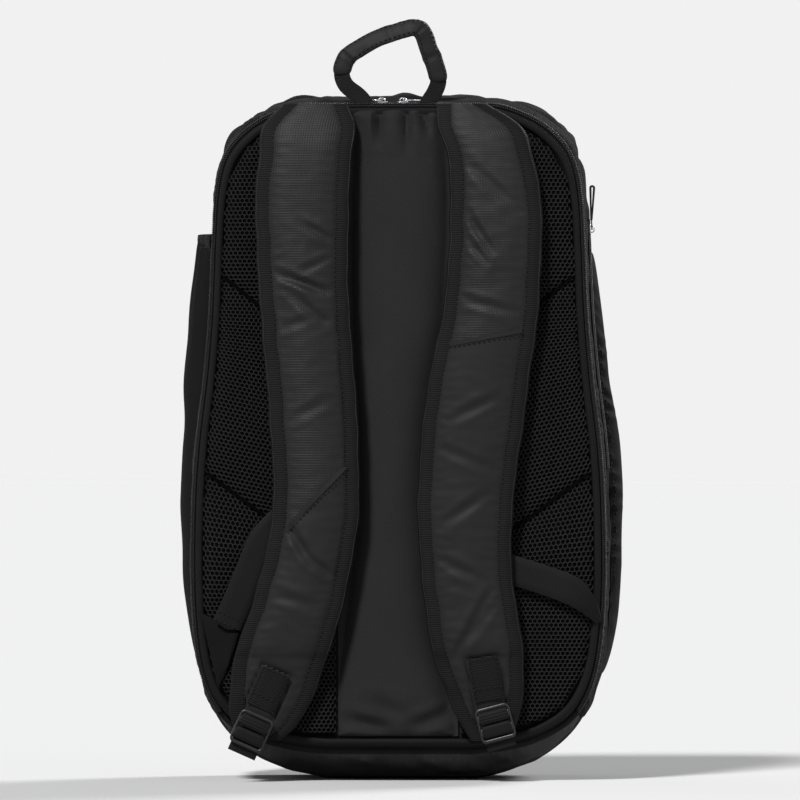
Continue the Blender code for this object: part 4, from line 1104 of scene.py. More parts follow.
def wall_part(start, end, steps, back, front, bulge, folds, seed, columns=14, gathers=0.0):
    """Panel of the bag's wall that swells between its seams and creases a little."""
    shares = np.linspace(start, end, steps)[:, None]
    depths = np.linspace(back, front, columns)[None, :]
    along = np.linspace(0.0, 1.0, steps)[:, None]
    across = np.linspace(0.0, 1.0, columns)[None, :]
    rim = rolled(np.minimum(across, 1 - across), 0.35) * rolled(np.minimum(along, 1 - along), 0.04)
    flat = shell(shares, depths)
    swell = rim * (bulge + folds * wrinkle(flat, (0.035, 0.05, 0.035), seed)
                   + 0.6 * folds * wrinkle(flat, (0.013, 0.03, 0.013), seed + 1)
                   + 0.4 * folds * crumpled(flat, (0.028, 0.05, 0.028), seed + 3))
    travel = np.linalg.norm(np.diff(flat[:, :1], axis=0, prepend=flat[:1, :1]), axis=-1).cumsum(0)
    pucker = np.sin(2 * np.pi * travel / GATHER_PITCH + 5 * wrinkle(flat, 0.03, seed + 2))
    swell = swell + gathers * pucker * np.exp(-across / 0.35) * rolled(np.minimum(along, 1 - along), 0.04)
    face = shell(shares, depths, -swell)
    face[..., 2] = np.maximum(face[..., 2], 0.0002)
    size = (round(front - back, 3), round(float(travel[-1, 0]), 3))
    return sheet(face, shell(shares, depths, WALL - 0.0012)), size


def add_wall(name, finish, body, node, slot, *shape):
    """Make one panel of the bag's wall, a sheet sewn into the seams round it."""
    part, size = wall_part(*shape)
    wall = add(name, [part], [finish], body, [node])


def zip_line(start, end, steps, y, depth, back_tilt):
    """Line of a zip round the bag's wall, and the direction its coil faces."""
    shares = np.linspace(start, end, steps)
    line = shell(shares, y, depth)
    out = shell(shares, y, depth - 0.001) - line
    out[:, 1] = 0.0
    out = unit(out)
    facing = out + np.array((0.0, back_tilt, 0.0))
    return line, unit(facing)


def add_coil(name, body, lines, width=0.0046):
    """Make the coil of a zip along its lines."""
    piece = grow(name, line_mesh(name, lines), bpy.data.node_groups["Zip coil"], {
        "Pitch": sizes().coil_pitch, "Width": width, "Height": 0.0010,
        "Material": FINISHES["coil"]})
    place_piece(piece, body)


def tape_part(start, end, steps, section, thick=0.0008):
    """Strip of tape round the bag's wall, over a section of (Y, depth) points."""
    shares = np.linspace(start, end, steps)[:, None]
    section = smooth_curve(section, 4)
    face = shell(shares, section[None, :, 0], section[None, :, 1])
    back = shell(shares, section[None, :, 0], section[None, :, 1] + thick)
    return sheet(face, back)


def make_racket_compartment():
    base, mouth = seam_at(BASE_SEAM_Z), seam_at(MOUTH_SEAM_Z)
    edge, ahead = RACKET_ZIP_Y + GAP, DIVIDER_BACK_Y - GAP
    # The base wall's lighter finish is painted bounce light on its shaded, floor-facing underside.
    add_wall("racket_wall_base", "base_fabric", "bag", "racket_gusset_base", "polyester",
             -base, base, 280, BOARD_FRONT_Y + GAP, ahead, -0.0006, 0.0050, 11, 18, 0.0009)
    turns = np.linspace(0, 2 * np.pi, 10, endpoint=False)
    shares = np.linspace(-base - 0.03, base + 0.03, 240)[:, None]
    rings = shell(shares, PIPING_Y + PIPING_RADIUS * np.cos(turns), -0.0010 + PIPING_RADIUS * np.sin(turns))
    rings[..., 2] += 0.0005 * wrinkle(rings, 0.014, 15)
    add("base_piping", [loft(rings)], ["edge_fabric"], "bag")
    for side, start, end in (("right", base, mouth - 0.0006), ("left", -mouth + 0.0006, -base)):
        add_wall(f"racket_wall_{side}", "shell", "bag", f"racket_gusset_{side}", "ripstop",
                 start, end, 340, edge, ahead, 0.0026, 0.0016, 12, 16, 0.0010)
    add_wall("racket_flap_cloth", "shell", "racket_flap", "racket_flap", "ripstop",
             mouth, 2 - mouth, 80, edge, ahead, 0.0018, 0.0030, 14)
    section = ((-0.0834, 0.0016), (-0.0828, -0.0008), (-0.0806, -0.0022), (-0.0765, -0.0022),
               (-0.0712, -0.0004))
    add("racket_tape", [tape_part(base, 2 - base, 300, section)], ["zip_tape"], "bag",
        ["racket_zip_tape"])
    line = zip_line(base, 2 - base, 400, -0.0826, -0.0016, -1.5)
    add_coil("racket_coil", "bag", [line], 0.0040)


def make_main_compartment():
    base, shoulder = seam_at(BASE_SEAM_Z), seam_at(SHOULDER_SEAM_Z)
    behind, ahead = DIVIDER_FRONT_Y + GAP, MAIN_ZIP_Y - GAP
    front = MAIN_FRONT_Y - GAP
    add_wall("base_cloth", "shell", "bag", "base_panel", "polyester",
             -base, base, 110, behind, front, -0.0008, 0.0012, 21, 24)
    for side, start, end in (("right", base, shoulder), ("left", -shoulder, -base)):
        add_wall(f"main_wall_{side}", "shell", "bag", f"main_gusset_{side}", "polyester",
                 start, end, 150, behind, ahead, 0.0020, 0.0018, 22, 26)
    add_wall("main_wall_top", "shell", "bag", "main_gusset_top", "ripstop",
             shoulder, 2 - shoulder, 110, behind, ahead, 0.0026, 0.0034, 24, 26)
    section = ((MAIN_ZIP_Y, 0.0006), (0.0600, 0.0), (0.0625, 0.0), (front, 0.0006))
    add("main_tape", [tape_part(base, 2 - base, 300, section)], ["zip_tape"], "bag",
        ["main_zip_tape"])
    add_coil("main_coil", "bag", [zip_line(base, 2 - base, 400, 0.0612, -0.0003, 0.15)])


def make_inside():
    rings = [shell_ring(y, depth) for y, depth in (
        (-0.0345, 0.0030), (DIVIDER_BACK_Y, 0.0016), (-0.0342, 0.0), (-0.0325, -0.0012), (-0.0308, 0.0),
        (DIVIDER_FRONT_Y, 0.0016), (-0.0305, 0.0030))]
    add("divider_cover", [loft(rings)], ["lining"], "bag", ["padded_divider"])
    up, across = np.meshgrid(np.linspace(0, 1, 40), np.linspace(0, 1, 48), indexing="ij")
    rise = np.sin(np.pi / 2 * np.minimum(up / FOOT_RISE, 1.0)) * (1 - MOUTH_DRAW * up**4)
    bulge = SLEEVE_BULGE * rise * (1 - np.abs(2 * across - 1) ** 3)
    x = SLEEVE_HALF_WIDTH * (2 * across - 1)
    z = SLEEVE_LOW_Z + (SLEEVE_HIGH_Z - SLEEVE_LOW_Z) * up
    back = np.stack([x, DIVIDER_FRONT_Y + GAP + bulge, z], -1)
    back[..., 1] += 0.0012 * rise * wrinkle(back, 0.05, 31) * (1 - np.abs(2 * across - 1) ** 3)
    face = back + np.array((0.0, POCKET_SHEET * 0.9, 0.0))
    sleeve = add("laptop_pocket", [sheet(face, back)], ["lining"], "bag", ["laptop_sleeve"])
    rim = face[-1]
    rings = np.stack([rim + np.array(step) for step in (
        (0, 0.0010, -0.014), (0, 0.0014, -0.003), (0, 0.0012, 0.0010), (0, -0.0010, 0.0014),
        (0, -0.0032, 0.0010), (0, -0.0036, -0.003), (0, -0.0030, -0.014), (0, -0.0010, 0.0002))], 1)
    add("laptop_pocket_edge", [loft(rings)], ["binding"], "bag")
    sew("bag", rim + np.array((0, 0.0014, -0.011)), (0.0, 1.0, 0.0))
    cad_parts["base_stiffener"].data.materials[0] = FINISHES["lining"]


def pocket_grid(sign, up, across):
    """Points of the side wall under a side pocket."""
    foot, top = POCKET_STEPS[sign]
    y = POCKET_BACK_Y + (POCKET_FRONT_Y - POCKET_BACK_Y) * across
    points = shell(side_share(foot + (top - foot) * up), y)
    points[..., 0] *= sign
    return points


def add_pocket(name, face, back, body, nodes):
    """Make a piece of a side pocket's cloth, which is gathered on a wall of the bag."""
    pocket = add(name, [sheet(face, back)], ["shell"], body, nodes)
    return pocket


def make_side_pockets():
    up, across = np.meshgrid(np.linspace(0, 1, POCKET_ROWS), np.linspace(0, 1, POCKET_COLUMNS),
                             indexing="ij")
    bow = 1 - np.abs(2 * across - 1) ** 3
    mouth = np.sin(np.pi / 2 * np.minimum(up / FOOT_RISE, 1.0)) * (1 - MOUTH_DRAW * up**4)
    closed = np.sqrt(np.maximum(np.sin(np.pi * up), 0.0))
    out = np.array((1.0, 0.0, 0.0))
    for side, sign in SIDES:
        wall = pocket_grid(sign, up, across)
        if side == "left":
            gather = np.clip((up - 0.72) / 0.28, 0.0, 1.0) ** 1.5
            ripple = 0.0011 * gather * np.sin(across * 2 * np.pi * 7) + 0.0016 * wrinkle(wall, 0.04, 41)
            swell = read(smooth_curve(LEFT_POCKET_BULGE, 6), up * LEFT_POCKET_RISE, 1) * bow
            swell = swell + ripple * np.minimum(mouth, bow)
        else:
            pull = np.exp(-((across - 0.06) / 0.22) ** 2) * np.clip(4 * np.minimum(up, 1 - up), 0, 1)
            pucker = np.sin(up * 2 * np.pi * 24 + 2 * across + 6 * wrinkle(wall, 0.03, 43))
            pucker = pucker * (0.7 + 0.8 * wrinkle(wall, 0.035, 44))
            ripple = 0.0018 * pull * pucker + 0.0018 * wrinkle(wall, 0.04, 42)
            swell = SIDE_BULGE * closed * bow + ripple * np.minimum(closed, np.minimum(1, 2.4 * bow + 0.2))
        back = wall + sign * out * (GAP + np.maximum(swell, 0.0))[..., None]
        face = back + sign * out * POCKET_SHEET * 0.85
        if side == "left":
            add_pocket("pocket_cloth_left", face, back, "bag", ["side_pocket_left"])
            edge = face[-1]
            steps = ((0.0008, -0.011), (0.0012, -0.002), (0.0008, 0.0010), (-0.0012, 0.0014),
                     (-0.0030, 0.0010), (-0.0034, -0.002), (-0.0030, -0.011), (-0.0010, -0.001))
            rings = np.stack([edge + np.array((sign * x, 0.0, z)) for x, z in steps], 1)
            add("pocket_hem_left", [loft(rings)], ["binding"], "bag")
            sew("bag", edge + np.array((sign * 0.0014, 0.0, -0.009)), (sign, 0.0, 0.0))
        else:
            low, high = POCKET_FREE
            body, wall = "side_pocket_right", "main_wall_right"
            rows = slice(low, high + 1)
            add_pocket("pocket_cloth_right", face[rows], back[rows], body, ["side_pocket_right"])
            sew(body, face[low:high, 2] + sign * out * 0.0003, (sign, -0.3, 0.0))
            for end, rows, seam, free in (("foot", slice(0, low + 1), 0, low - POCKET_FREE_LAP),
                                          ("head", slice(high, POCKET_ROWS), -1, high + POCKET_FREE_LAP)):
                part = add_pocket(f"pocket_{end}_right", face[rows], back[rows], None, ())
                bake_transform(part)
    make_side_zip()


def make_side_zip():
    """Tape and coil of the zip beside the right pocket."""
    heights = np.linspace(*SIDE_ZIP_SPAN, 120)
    lips = np.array((-0.0068, -0.0030, 0.0, 0.0030, 0.0052))
    y = SIDE_SLIDER_Y + np.broadcast_to(lips, (len(heights), len(lips)))
    x = half_width(heights, SIDE_SLIDER_Y)[:, None] + np.array((0.0018, 0.0024, 0.0020, 0.0024, 0.0020))
    z = np.broadcast_to(heights[:, None], y.shape)
    face = np.stack([x, y, z], -1)
    back = face - np.array((SIDE_TAPE_THICK, 0.0, 0.0))
    add("side_tape", [sheet(face, back)], ["zip_tape"], "bag")
    line = face[:, 2] + np.array((0.0004, 0.0, 0.0))
    facing = np.broadcast_to((1.0, 0.0, 0.0), line.shape)
    add_coil("side_coil", "bag", [(line, facing)], SIDE_COIL_WIDTH)


def strap_rows(side):
    """Height, edges, Y of the inner face and thickness along a strap, top to bottom."""
    drawn = smooth_curve(STRAPS[side], 22)[::-1]
    z = np.linspace(drawn[-1, 0], drawn[0, 0], STRAP_ROWS)
    left, right = read(drawn, z, 1), read(drawn, z, 2)
    left = left + 0.0005 * np.sin(z / 0.0063) * np.sin(z / 0.021 + 1.0)
    right = right + 0.0005 * np.sin(z / 0.0071 + 2.0) * np.sin(z / 0.018)
    lie = smooth_curve(STRAP_LIE, 10)
    return z, left, right, read(lie, z, 1), STRAP_THICK * read(lie, z, 2)


def strap_height(distance, thick):
    """Height of a strap's face over its inner side, so far from the nearer edge."""
    rim = STRAP_RIM * thick
    return rim + (thick - rim) * rolled(distance - STRAP_BOUND, STRAP_PUFF)


def strap_face(side, columns=46):
    """Grids over a strap's outer face, with its settled folds, and over its inner face."""
    z, left, right, inner, thick = (row[:, None] for row in strap_rows(side))
    share = ((1 - np.cos(np.linspace(0, np.pi, columns))) / 2)[None, :]
    x = left + (right - left) * share
    z = np.broadcast_to(z, x.shape)
    distance = np.minimum(x - left, right - x)
    free = np.clip((distance - 0.009) / 0.006, 0.0, 1.0)
    spot = np.stack([x, 0 * x, z], -1)
    lower = z < read(STRAP_SEAMS[side], x, 1)
    slack = np.where(lower, STRAP_SLACK[1], STRAP_SLACK[0]) * (0.55 + 0.6 * wrinkle(spot, 0.06, 50))
    crush = np.interp(z, *zip(*STRAP_CRUSH[side]))
    folds = creased(x, z, STRAP_CREASES[side]) * (sizes().crease_depth / 0.001)
    folds = folds - 0.00055 * crush * crumpled(spot, (0.026, 1.0, 0.016), 51)
    folds = folds - 0.00025 * crush * crumpled(spot, (0.011, 1.0, 0.009), 52)
    pucker = np.sin(2 * np.pi * z / STRAP_PUCKER_PITCH + 5 * wrinkle(spot, 0.03, 53))
    folds = folds + 0.00045 * pucker * np.exp(-np.maximum(distance - 0.0115, 0.0) / 0.0060)
    face = np.stack([x, inner - strap_height(distance, thick), z], -1)
    top, bottom = LADDER_LOCKS[side][2:]
    run = np.array((bottom[0] - top[0], bottom[1] - top[1])) / math.dist(top, bottom)
    along = (x - top[0]) * run[0] + (z - top[1]) * run[1]
    aside = np.abs((x - top[0]) * run[1] - (z - top[1]) * run[0])
    held = (distance < 0.0095) | ((along > -0.001) & (aside < 0.0125)) | (z > STRAP_HELD_Z)
    held[[0, -1]] = True
    face = settle(f"settling_{side}", face, held, np.maximum(slack, 0.001), 0.12, STRAP_STIFFNESS, 0.0026)
    pressed = np.maximum(-along, aside - WEBBING_WIDTH / 2)
    clear = np.clip(pressed / 0.004, 0.0, 1.0)
    face[..., 1] += folds * free * clear + 0.0021 * np.exp(-((pressed - 0.0010) / 0.0016) ** 2)
    return face, np.stack([x, np.broadcast_to(inner, x.shape), z], -1)


def binding_part(edge, sense, inner, thick, z, width):
    """Tape folded over one edge of a strap, and the line of its stitches."""
    rim = STRAP_RIM * thick
    proud = BINDING_THICK
    outside = ((width, rim + 0.0002), (width - 0.0006, rim + proud), (width * 0.5, rim + 1.2 * proud),
               (0.0016, rim + proud), (-0.0006, 0.80 * rim), (-0.0011, 0.45 * rim), (-0.0006, 0.1 * rim),
               (0.0020, -0.0008 + 0 * rim), (width * 0.9, -0.0008 + 0 * rim))
    inside = ((width * 0.9, 0.0002 + 0 * rim), (0.0020, 0.0002 + 0 * rim), (0.0004, 0.2 * rim),
              (0.0002, 0.45 * rim), (0.0004, 0.7 * rim), (0.0018, rim - 0.0004),
              (width * 0.5, rim - 0.0004), (width - 0.0008, rim - 0.0004), (width - 0.0002, rim - 0.0002))
    rings = np.stack([np.stack([edge + sense * across, inner - level, z], -1)
                      for across, level in outside + inside], 1)
    rings[..., 1] += 0.0003 * wrinkle(rings, 0.010, 55)
    seam = np.stack([edge + sense * (width - 0.0022), inner - rim - 1.25 * proud, z], -1)
    return loft(rings), seam


def make_straps():
    width = sizes().binding_width
    for side in STRAPS:
        body = f"strap_{side}"
        face, back = strap_face(side)
        points, faces, flat = sheet(face, back)[:3]
        middle = points[faces].mean(1)
        lower = middle[:, 2] < read(STRAP_SEAMS[side], middle[:, 0], 1)
        add(f"strap_pad_{side}", [(points, faces, flat, np.where(lower, 1, 0))], ["ripstop", "polyester"],
            body, [f"shoulder_strap_{side}"])
        z, left, right, inner, thick = strap_rows(side)
        parts = []
        for edge, sense in ((left, 1.0), (right, -1.0)):
            part, seam = binding_part(edge, sense, inner, thick, z, width)
            parts.append(part)
            sew(body, seam[3:-4], (0.0, -1.0, 0.0))
        add(f"strap_binding_{side}", parts, ["binding"], body)
        line = smooth_curve(STRAP_SEAMS[side], 14)
        spots = np.interp(line[:, 1], z[::-1], np.arange(len(z))[::-1]).round().astype(int)
        near = (line[:, 0] > left[spots] + 0.009) & (line[:, 0] < right[spots] - 0.009)
        line, spots = line[near], spots[near]
        level = np.array([np.interp(x, *face[row, :, :2].T) for x, row in zip(line[:, 0], spots)])
        path = np.stack([line[:, 0], level - 0.0002, line[:, 1]], -1)
        across = across_of(path)
        lap = band(path, across, STRAP_SEAM_WIDTH, 0.0010)
        add(f"strap_seam_{side}", [lap], ["polyester"], body)
        beside = across * 0.0026 * np.sign(across[:, 2:3])
        sew(body, path - beside - np.array((0.0, 0.0007, 0.0)), (0, -1, 0))


def band(path, across, width, thick):
    """Flat band with rounded edges along a path, with the direction across at each point."""
    path = np.asarray(path, float)
    run = np.gradient(path, axis=0)
    up = np.cross(run, across)
    up = unit(up)
    section = ((-0.5, -0.2), (-0.47, -0.5), (-0.25, -0.5), (0.0, -0.5), (0.25, -0.5), (0.47, -0.5),
               (0.5, -0.2), (0.5, 0.2), (0.47, 0.5), (0.25, 0.5), (0.0, 0.5), (-0.25, 0.5), (-0.47, 0.5),
               (-0.5, 0.2))
    width = np.broadcast_to(width, len(path))[:, None]
    rings = [path + across * width * a + up * thick * b for a, b in section]
    return loft(np.stack(rings, 1))


def across_of(path):
    """Direction across a band that lies flat against the back, at each point of its path."""
    run = np.gradient(path, axis=0)
    across = np.stack([-run[:, 2], 0 * run[:, 0], run[:, 0]], -1)
    return unit(across)


def straight(start, end, count):
    """Points on a straight line between two."""
    return np.asarray(start) + (np.asarray(end) - np.asarray(start)) * np.linspace(0, 1, count)[:, None]


def lock_form():
    """Ladder lock: a rounded frame with two cross bars, all with rounded edges."""
    bm = bmesh.new()
    half, low, high = LOCK_WIDTH / 2, LOCK_LEVELS[0], LOCK_LEVELS[-1]
    turns = np.linspace(0, np.pi / 2, 7)
    middle = LOCK_RAIL / 2
    path, wide = [], []
    for quarter, (x, z) in enumerate(((1, 1), (-1, 1), (-1, -1), (1, -1))):
        angle = turns + quarter * np.pi / 2
        rail = LOCK_LEVELS[7] - LOCK_LEVELS[6] if z > 0 else LOCK_LEVELS[1] - LOCK_LEVELS[0]
        x = x * (half - LOCK_CORNER) + (LOCK_CORNER - middle) * np.cos(angle)
        z = (high if z > 0 else low) - z * LOCK_CORNER + (LOCK_CORNER - rail / 2) * np.sin(angle)
        path += list(zip(x, z))
        wide += (middle + (rail / 2 - middle) * np.sin(angle) ** 2).tolist()
    rail_ring(bm, path, wide)
    for base in (2, 4):
        level = (LOCK_LEVELS[base] + LOCK_LEVELS[base + 1]) / 2
        thick = (LOCK_LEVELS[base + 1] - LOCK_LEVELS[base]) / 2
        path = [(x, level) for x in np.linspace(middle - half, half - middle, 9)]
        rail_ring(bm, path, [thick] * len(path), False)
    return bm


def rail_ring(bm, path, half_wide, closed=True, thick=LOCK_THICK):
    """Bar with a rounded section along a path in X and Z, as a loop or with two ends."""
    path = np.asarray(path, float)
    run = np.roll(path, -1, 0) - np.roll(path, 1, 0) if closed else np.gradient(path, axis=0)
    run = unit(run)
    turns = np.linspace(0, 2 * np.pi, 12, endpoint=False)
    aside = np.sign(np.cos(turns)) * np.abs(np.cos(turns)) ** 0.6
    lift = np.sign(np.sin(turns)) * np.abs(np.sin(turns)) ** 0.6 * thick / 2
    rows = [[bm.verts.new((x - dz * a * half, b, z + dx * a * half)) for a, b in zip(aside, lift)]
            for (x, z), (dx, dz), half in zip(path, run, half_wide)]
    pairs = list(zip(rows, rows[1:] + rows[:1])) if closed else list(zip(rows, rows[1:]))
    for one, other in pairs:
        for k in range(len(turns)):
            bm.faces.new((one[k - 1], one[k], other[k], other[k - 1]))
    if not closed:
        bm.faces.new(rows[0])
        bm.faces.new(rows[-1])


def stitch_across(path, across, at, half):
    """Line of stitches across a band at one point of its path."""
    return straight(path[at] - across[at] * half, path[at] + across[at] * half, 6)


def add_tab(side):
    """Make the webbing tab sewn on a strap's lower end."""
    top, bottom = LADDER_LOCKS[side][2:]
    strap = f"strap_{side}"
    lie = smooth_curve(STRAP_LIE, 10)
    path = straight((top[0], 0.0, top[1]), (bottom[0], 0.0, bottom[1]), 30)
    path[:, 1] = read(lie, path[:, 2], 1) - STRAP_THICK * read(lie, path[:, 2], 2)
    path[:, 1] -= GAP + WEBBING_THICK / 2 - TAB_EXTRA
    across = across_of(path)
    tab = band(path, across, WEBBING_WIDTH, WEBBING_THICK + TAB_EXTRA)
    add(f"tab_{side}", [tab], ["cross_webbing"], strap, [f"strap_tab_{side}"])
    up = np.array((0.0, -0.0011, 0.0))
    for share in (-0.46, 0.46):
        sew(strap, path[1:] + across[1:] * WEBBING_WIDTH * share + up, (0, -1, 0))
    for at in (1, 21):
        sew(strap, stitch_across(path, across, at, 0.0098) + up, (0, -1, 0))


def add_lower_webbing(side):
    """Make the run of adjuster webbing behind a strap's lower end."""
    lie = smooth_curve(STRAP_LIE, 10)
    path = straight(LADDER_LOCKS[side][0], ADJUSTERS[side][-1], 40)
    path[:, 1] = read(lie, path[:, 2], 1) + GAP + WEBBING_THICK / 2
    lower = band(path, across_of(path), WEBBING_WIDTH, WEBBING_THICK)
    add(f"webbing_lower_{side}", [lower], ["webbing"], f"strap_{side}", [f"webbing_run_{side}"])


def add_lock(side):
    """Make a ladder lock, the loop that holds it and the webbing threaded through it."""
    centre, tilt = LADDER_LOCKS[side][:2]
    lock = f"ladder_lock_{side}"
    place = Matrix.Translation(centre) @ Matrix.Rotation(math.radians(tilt), 4, "Y")
    add_solid(f"lock_frame_{side}", lock_form(), "plastic", lock, [f"ladder_lock_{side}"], place)
    turn = np.array(place.to_3x3())

    def placed(points):
        return np.asarray(points) @ turn.T + np.array(centre)

    reach = LOCK_THICK / 2 + LOOP_CLEARANCE + WEBBING_THICK / 2
    low = LOCK_LEVELS[4] - LOOP_CLEARANCE - WEBBING_THICK / 2
    high = LOCK_LEVELS[5] + LOOP_CLEARANCE + WEBBING_THICK / 2
    turns = np.linspace(0, 2 * np.pi, 40, endpoint=False)
    loop = np.stack([0 * turns, reach * np.clip(1.25 * np.cos(turns), -1, 1),
                     (low + high) / 2 + (high - low) / 2 * np.clip(1.25 * np.sin(turns), -1, 1)], -1)
    out = loop - np.array((0.0, 0.0, (low + high) / 2))
    out = unit(out)
    side_step = np.array((WEBBING_WIDTH / 2, 0.0, 0.0))
    rings = np.stack([loop + out * lift * WEBBING_THICK / 2 + side_step * across for across, lift in (
        (-1, -0.5), (-0.9, -1), (0, -1), (0.9, -1), (1, -0.5), (1, 0.5), (0.9, 1), (0, 1), (-0.9, 1),
        (-1, 0.5))], 1)
    add(f"loop_{side}", [loft(placed(rings), wrap=True)], ["cross_webbing"], lock, [f"tab_loop_{side}"])
    step = LOOP_CLEARANCE + WEBBING_THICK / 2
    reach = LOCK_THICK / 2 + step
    above, below = LOCK_LEVELS[3] + step, LOCK_LEVELS[2] - step
    route = ((0, reach + step, above), (0, 0, above), (0, step - reach, above),
             (0, -reach, above - step), (0, -reach - 0.0002, (above + below) / 2),
             (0, -reach, below + step), (0, step - reach, below), (0, 0, below),
             (0, reach - step, below), (0, reach, below - step), (0, reach, TAIL_END))
    path = smooth_curve(route, 5)
    band_across = np.broadcast_to((1.0, 0.0, 0.0), path.shape)
    points, faces, flat, finish = band(path, band_across, WEBBING_WIDTH, WEBBING_THICK)
    add(f"tail_{side}", [(placed(points), faces, flat, finish)], ["webbing"], lock,
        [f"webbing_tail_{side}"])


def add_wing(side):
    """Make the fabric wing that a run of adjuster webbing is sewn to."""
    foot = np.array(WINGS[side])
    foot[1:3] += (foot[[0, 3]] - foot[1:3]) * WING_TUCK[side]
    normal = np.cross(foot[1] - foot[0], foot[3] - foot[0])
    normal /= -np.linalg.norm(normal) * np.sign(normal[1])
    u, v = np.meshgrid(np.linspace(0, 1, 16), np.linspace(0, 1, 16), indexing="ij")
    spot = ((1 - u) * (1 - v))[..., None] * foot[0] + (u * (1 - v))[..., None] * foot[1]
    spot = spot + (u * v)[..., None] * foot[2] + ((1 - u) * v)[..., None] * foot[3]
    edge = rolled(np.minimum(np.minimum(u, 1 - u), np.minimum(v, 1 - v)), 0.12)
    puff = 0.0008 + 0.0014 * edge + 0.0006 * edge * wrinkle(spot, 0.012, 61)
    face = spot + normal * puff[..., None]
    wing = add(f"wing_{side}", [sheet(face, spot)], ["shell"], "bag", [f"anchor_wing_{side}"])


def add_upper_webbing(side):
    """Make the free run of adjuster webbing, which runs from the bag to the strap."""
    path = smooth_curve(TUCKED_ENDS[side] + ADJUSTERS[side], 12)
    across = across_of(path)
    travel = np.linalg.norm(np.diff(path, axis=0, prepend=path[:1]), axis=1).cumsum()
    narrow = np.clip(travel / TUCK_LENGTH[side], 0.0, 1.0)
    width = WEBBING_WIDTH * (TUCK_SHARE + (1 - TUCK_SHARE) * narrow**0.8)
    web = add(f"webbing_upper_{side}", [band(path, across, width, WEBBING_THICK)], ["webbing"], None,
              [f"adjuster_webbing_{side}"])
    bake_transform(web)
    for at in (1, 3) if side == "left" else ():
        stitches = stitch_across(path, across, at, 0.0092)
        sew("bag", stitches - np.array((0.0, 0.0008, 0.0)), (0, -1, 0))


def make_adjusters():
    for side in STRAPS:
        add_tab(side)
        add_lower_webbing(side)
        add_lock(side)
        add_wing(side)
        add_upper_webbing(side)


def make_handle():
    path = smooth_curve([(x, HANDLE_Y, z) for x, z in HANDLE_PATH], HANDLE_STEPS)
    run = np.gradient(path, axis=0)
    flat = across_of(path)
    lean = (HANDLE_LEAN * np.sin(np.pi * np.linspace(0, 1, len(path))) ** 2)[:, None]
    across = flat * np.cos(lean) + np.array((0.0, 1.0, 0.0)) * np.sin(lean)
    ease = np.clip(np.minimum(np.arange(len(path)), np.arange(len(path))[::-1]) / 8, 0, 1)[:, None]
    ends = np.where(np.arange(len(path))[:, None] < len(path) / 2, [[-1.0, 0.0, 0.0]], [[1.0, 0.0, 0.0]])
    across = across * ease + ends * (1 - ease)
    across = unit(across)
    webbing = band(path, across, HANDLE_WEBBING_WIDTH, WEBBING_THICK)
    add("handle_band", [webbing], ["cross_webbing"], "handle", ["handle_webbing"])
    covered = slice(SLEEVE_SPAN[0] * HANDLE_STEPS, SLEEVE_SPAN[1] * HANDLE_STEPS + 1)
    path, across, run = path[covered], across[covered], run[covered]
    up = np.cross(run, across)
    up = unit(up)
    along = np.linspace(0, 1, len(path))
    full = 0.72 + 0.28 * rolled(np.minimum(along, 1 - along), 0.05)
    pinch = sum(np.exp(-((along - bend) / 0.018) ** 2) for bend in SLEEVE_BENDS)
    turns = np.linspace(0, 2 * np.pi, 36, endpoint=False)
    wide = np.sign(np.cos(turns)) * np.abs(np.cos(turns)) ** 0.38
    tall = np.sign(np.sin(turns)) * np.abs(np.sin(turns)) ** 0.50
    half_wide = (SLEEVE_WIDTH * 0.43 * (full + 0.07 * pinch))[:, None]
    half_tall = (SLEEVE_THICK / 2 * (full - 0.38 * np.minimum(pinch, 1)))[:, None]
    ridge = 1 - np.abs(wide - SLEEVE_RIDGE) / (1 + np.where(wide > SLEEVE_RIDGE, -1, 1) * SLEEVE_RIDGE)
    tall = tall * np.where(tall > 0, 0.55 + 0.75 * ridge, 0.9)
    rings = path[:, None] + across[:, None] * (half_wide * wide)[..., None]
    rings = rings + up[:, None] * (half_tall * tall)[..., None]
    rings = rings + up[:, None] * (0.0005 * crumpled(rings, (0.010, 0.02, 0.010), 71))[..., None]
    add("handle_padding", [loft(rings)], ["handle_fabric"], "handle", ["handle_sleeve"])
    for share in (-0.36, 0.36):
        for face in (-1.0, 1.0):
            line = path + across * SLEEVE_WIDTH * share * 0.92 + up * face * SLEEVE_THICK * 0.40
            sew("handle", line[4:-4], up[4:-4] * face)


def rounded_half(z, inset=0.0):
    """Half width of the front pocket at heights, with round corners."""
    low, high = FRONT_POCKET_LOW_Z + inset, FRONT_POCKET_HIGH_Z - inset
    share = np.clip((z - low) / (high - low), 0.0, 1.0)
    half = FRONT_POCKET_HALF_LOW * (1 - share) + FRONT_POCKET_HALF_HIGH * share - inset
    radius = FRONT_POCKET_RADIUS
    drop = np.maximum(radius - np.minimum(z - low, high - z), 0.0)
    return half - radius + np.sqrt(np.maximum(radius**2 - drop**2, 0.0))


def pocket_ring(y, inset, count=120):
    """Ring round the front pocket with evenly kept pairs of points left and right."""
    low, high = FRONT_POCKET_LOW_Z + inset, FRONT_POCKET_HIGH_Z - inset
    z = low + (high - low) * (1 - np.cos(np.linspace(0, np.pi, count))) / 2
    x = rounded_half(z, inset)
    right = np.stack([x, np.full_like(z, y), z], -1)
    return np.concatenate([right, (right * np.array((-1.0, 1.0, 1.0)))[::-1]])


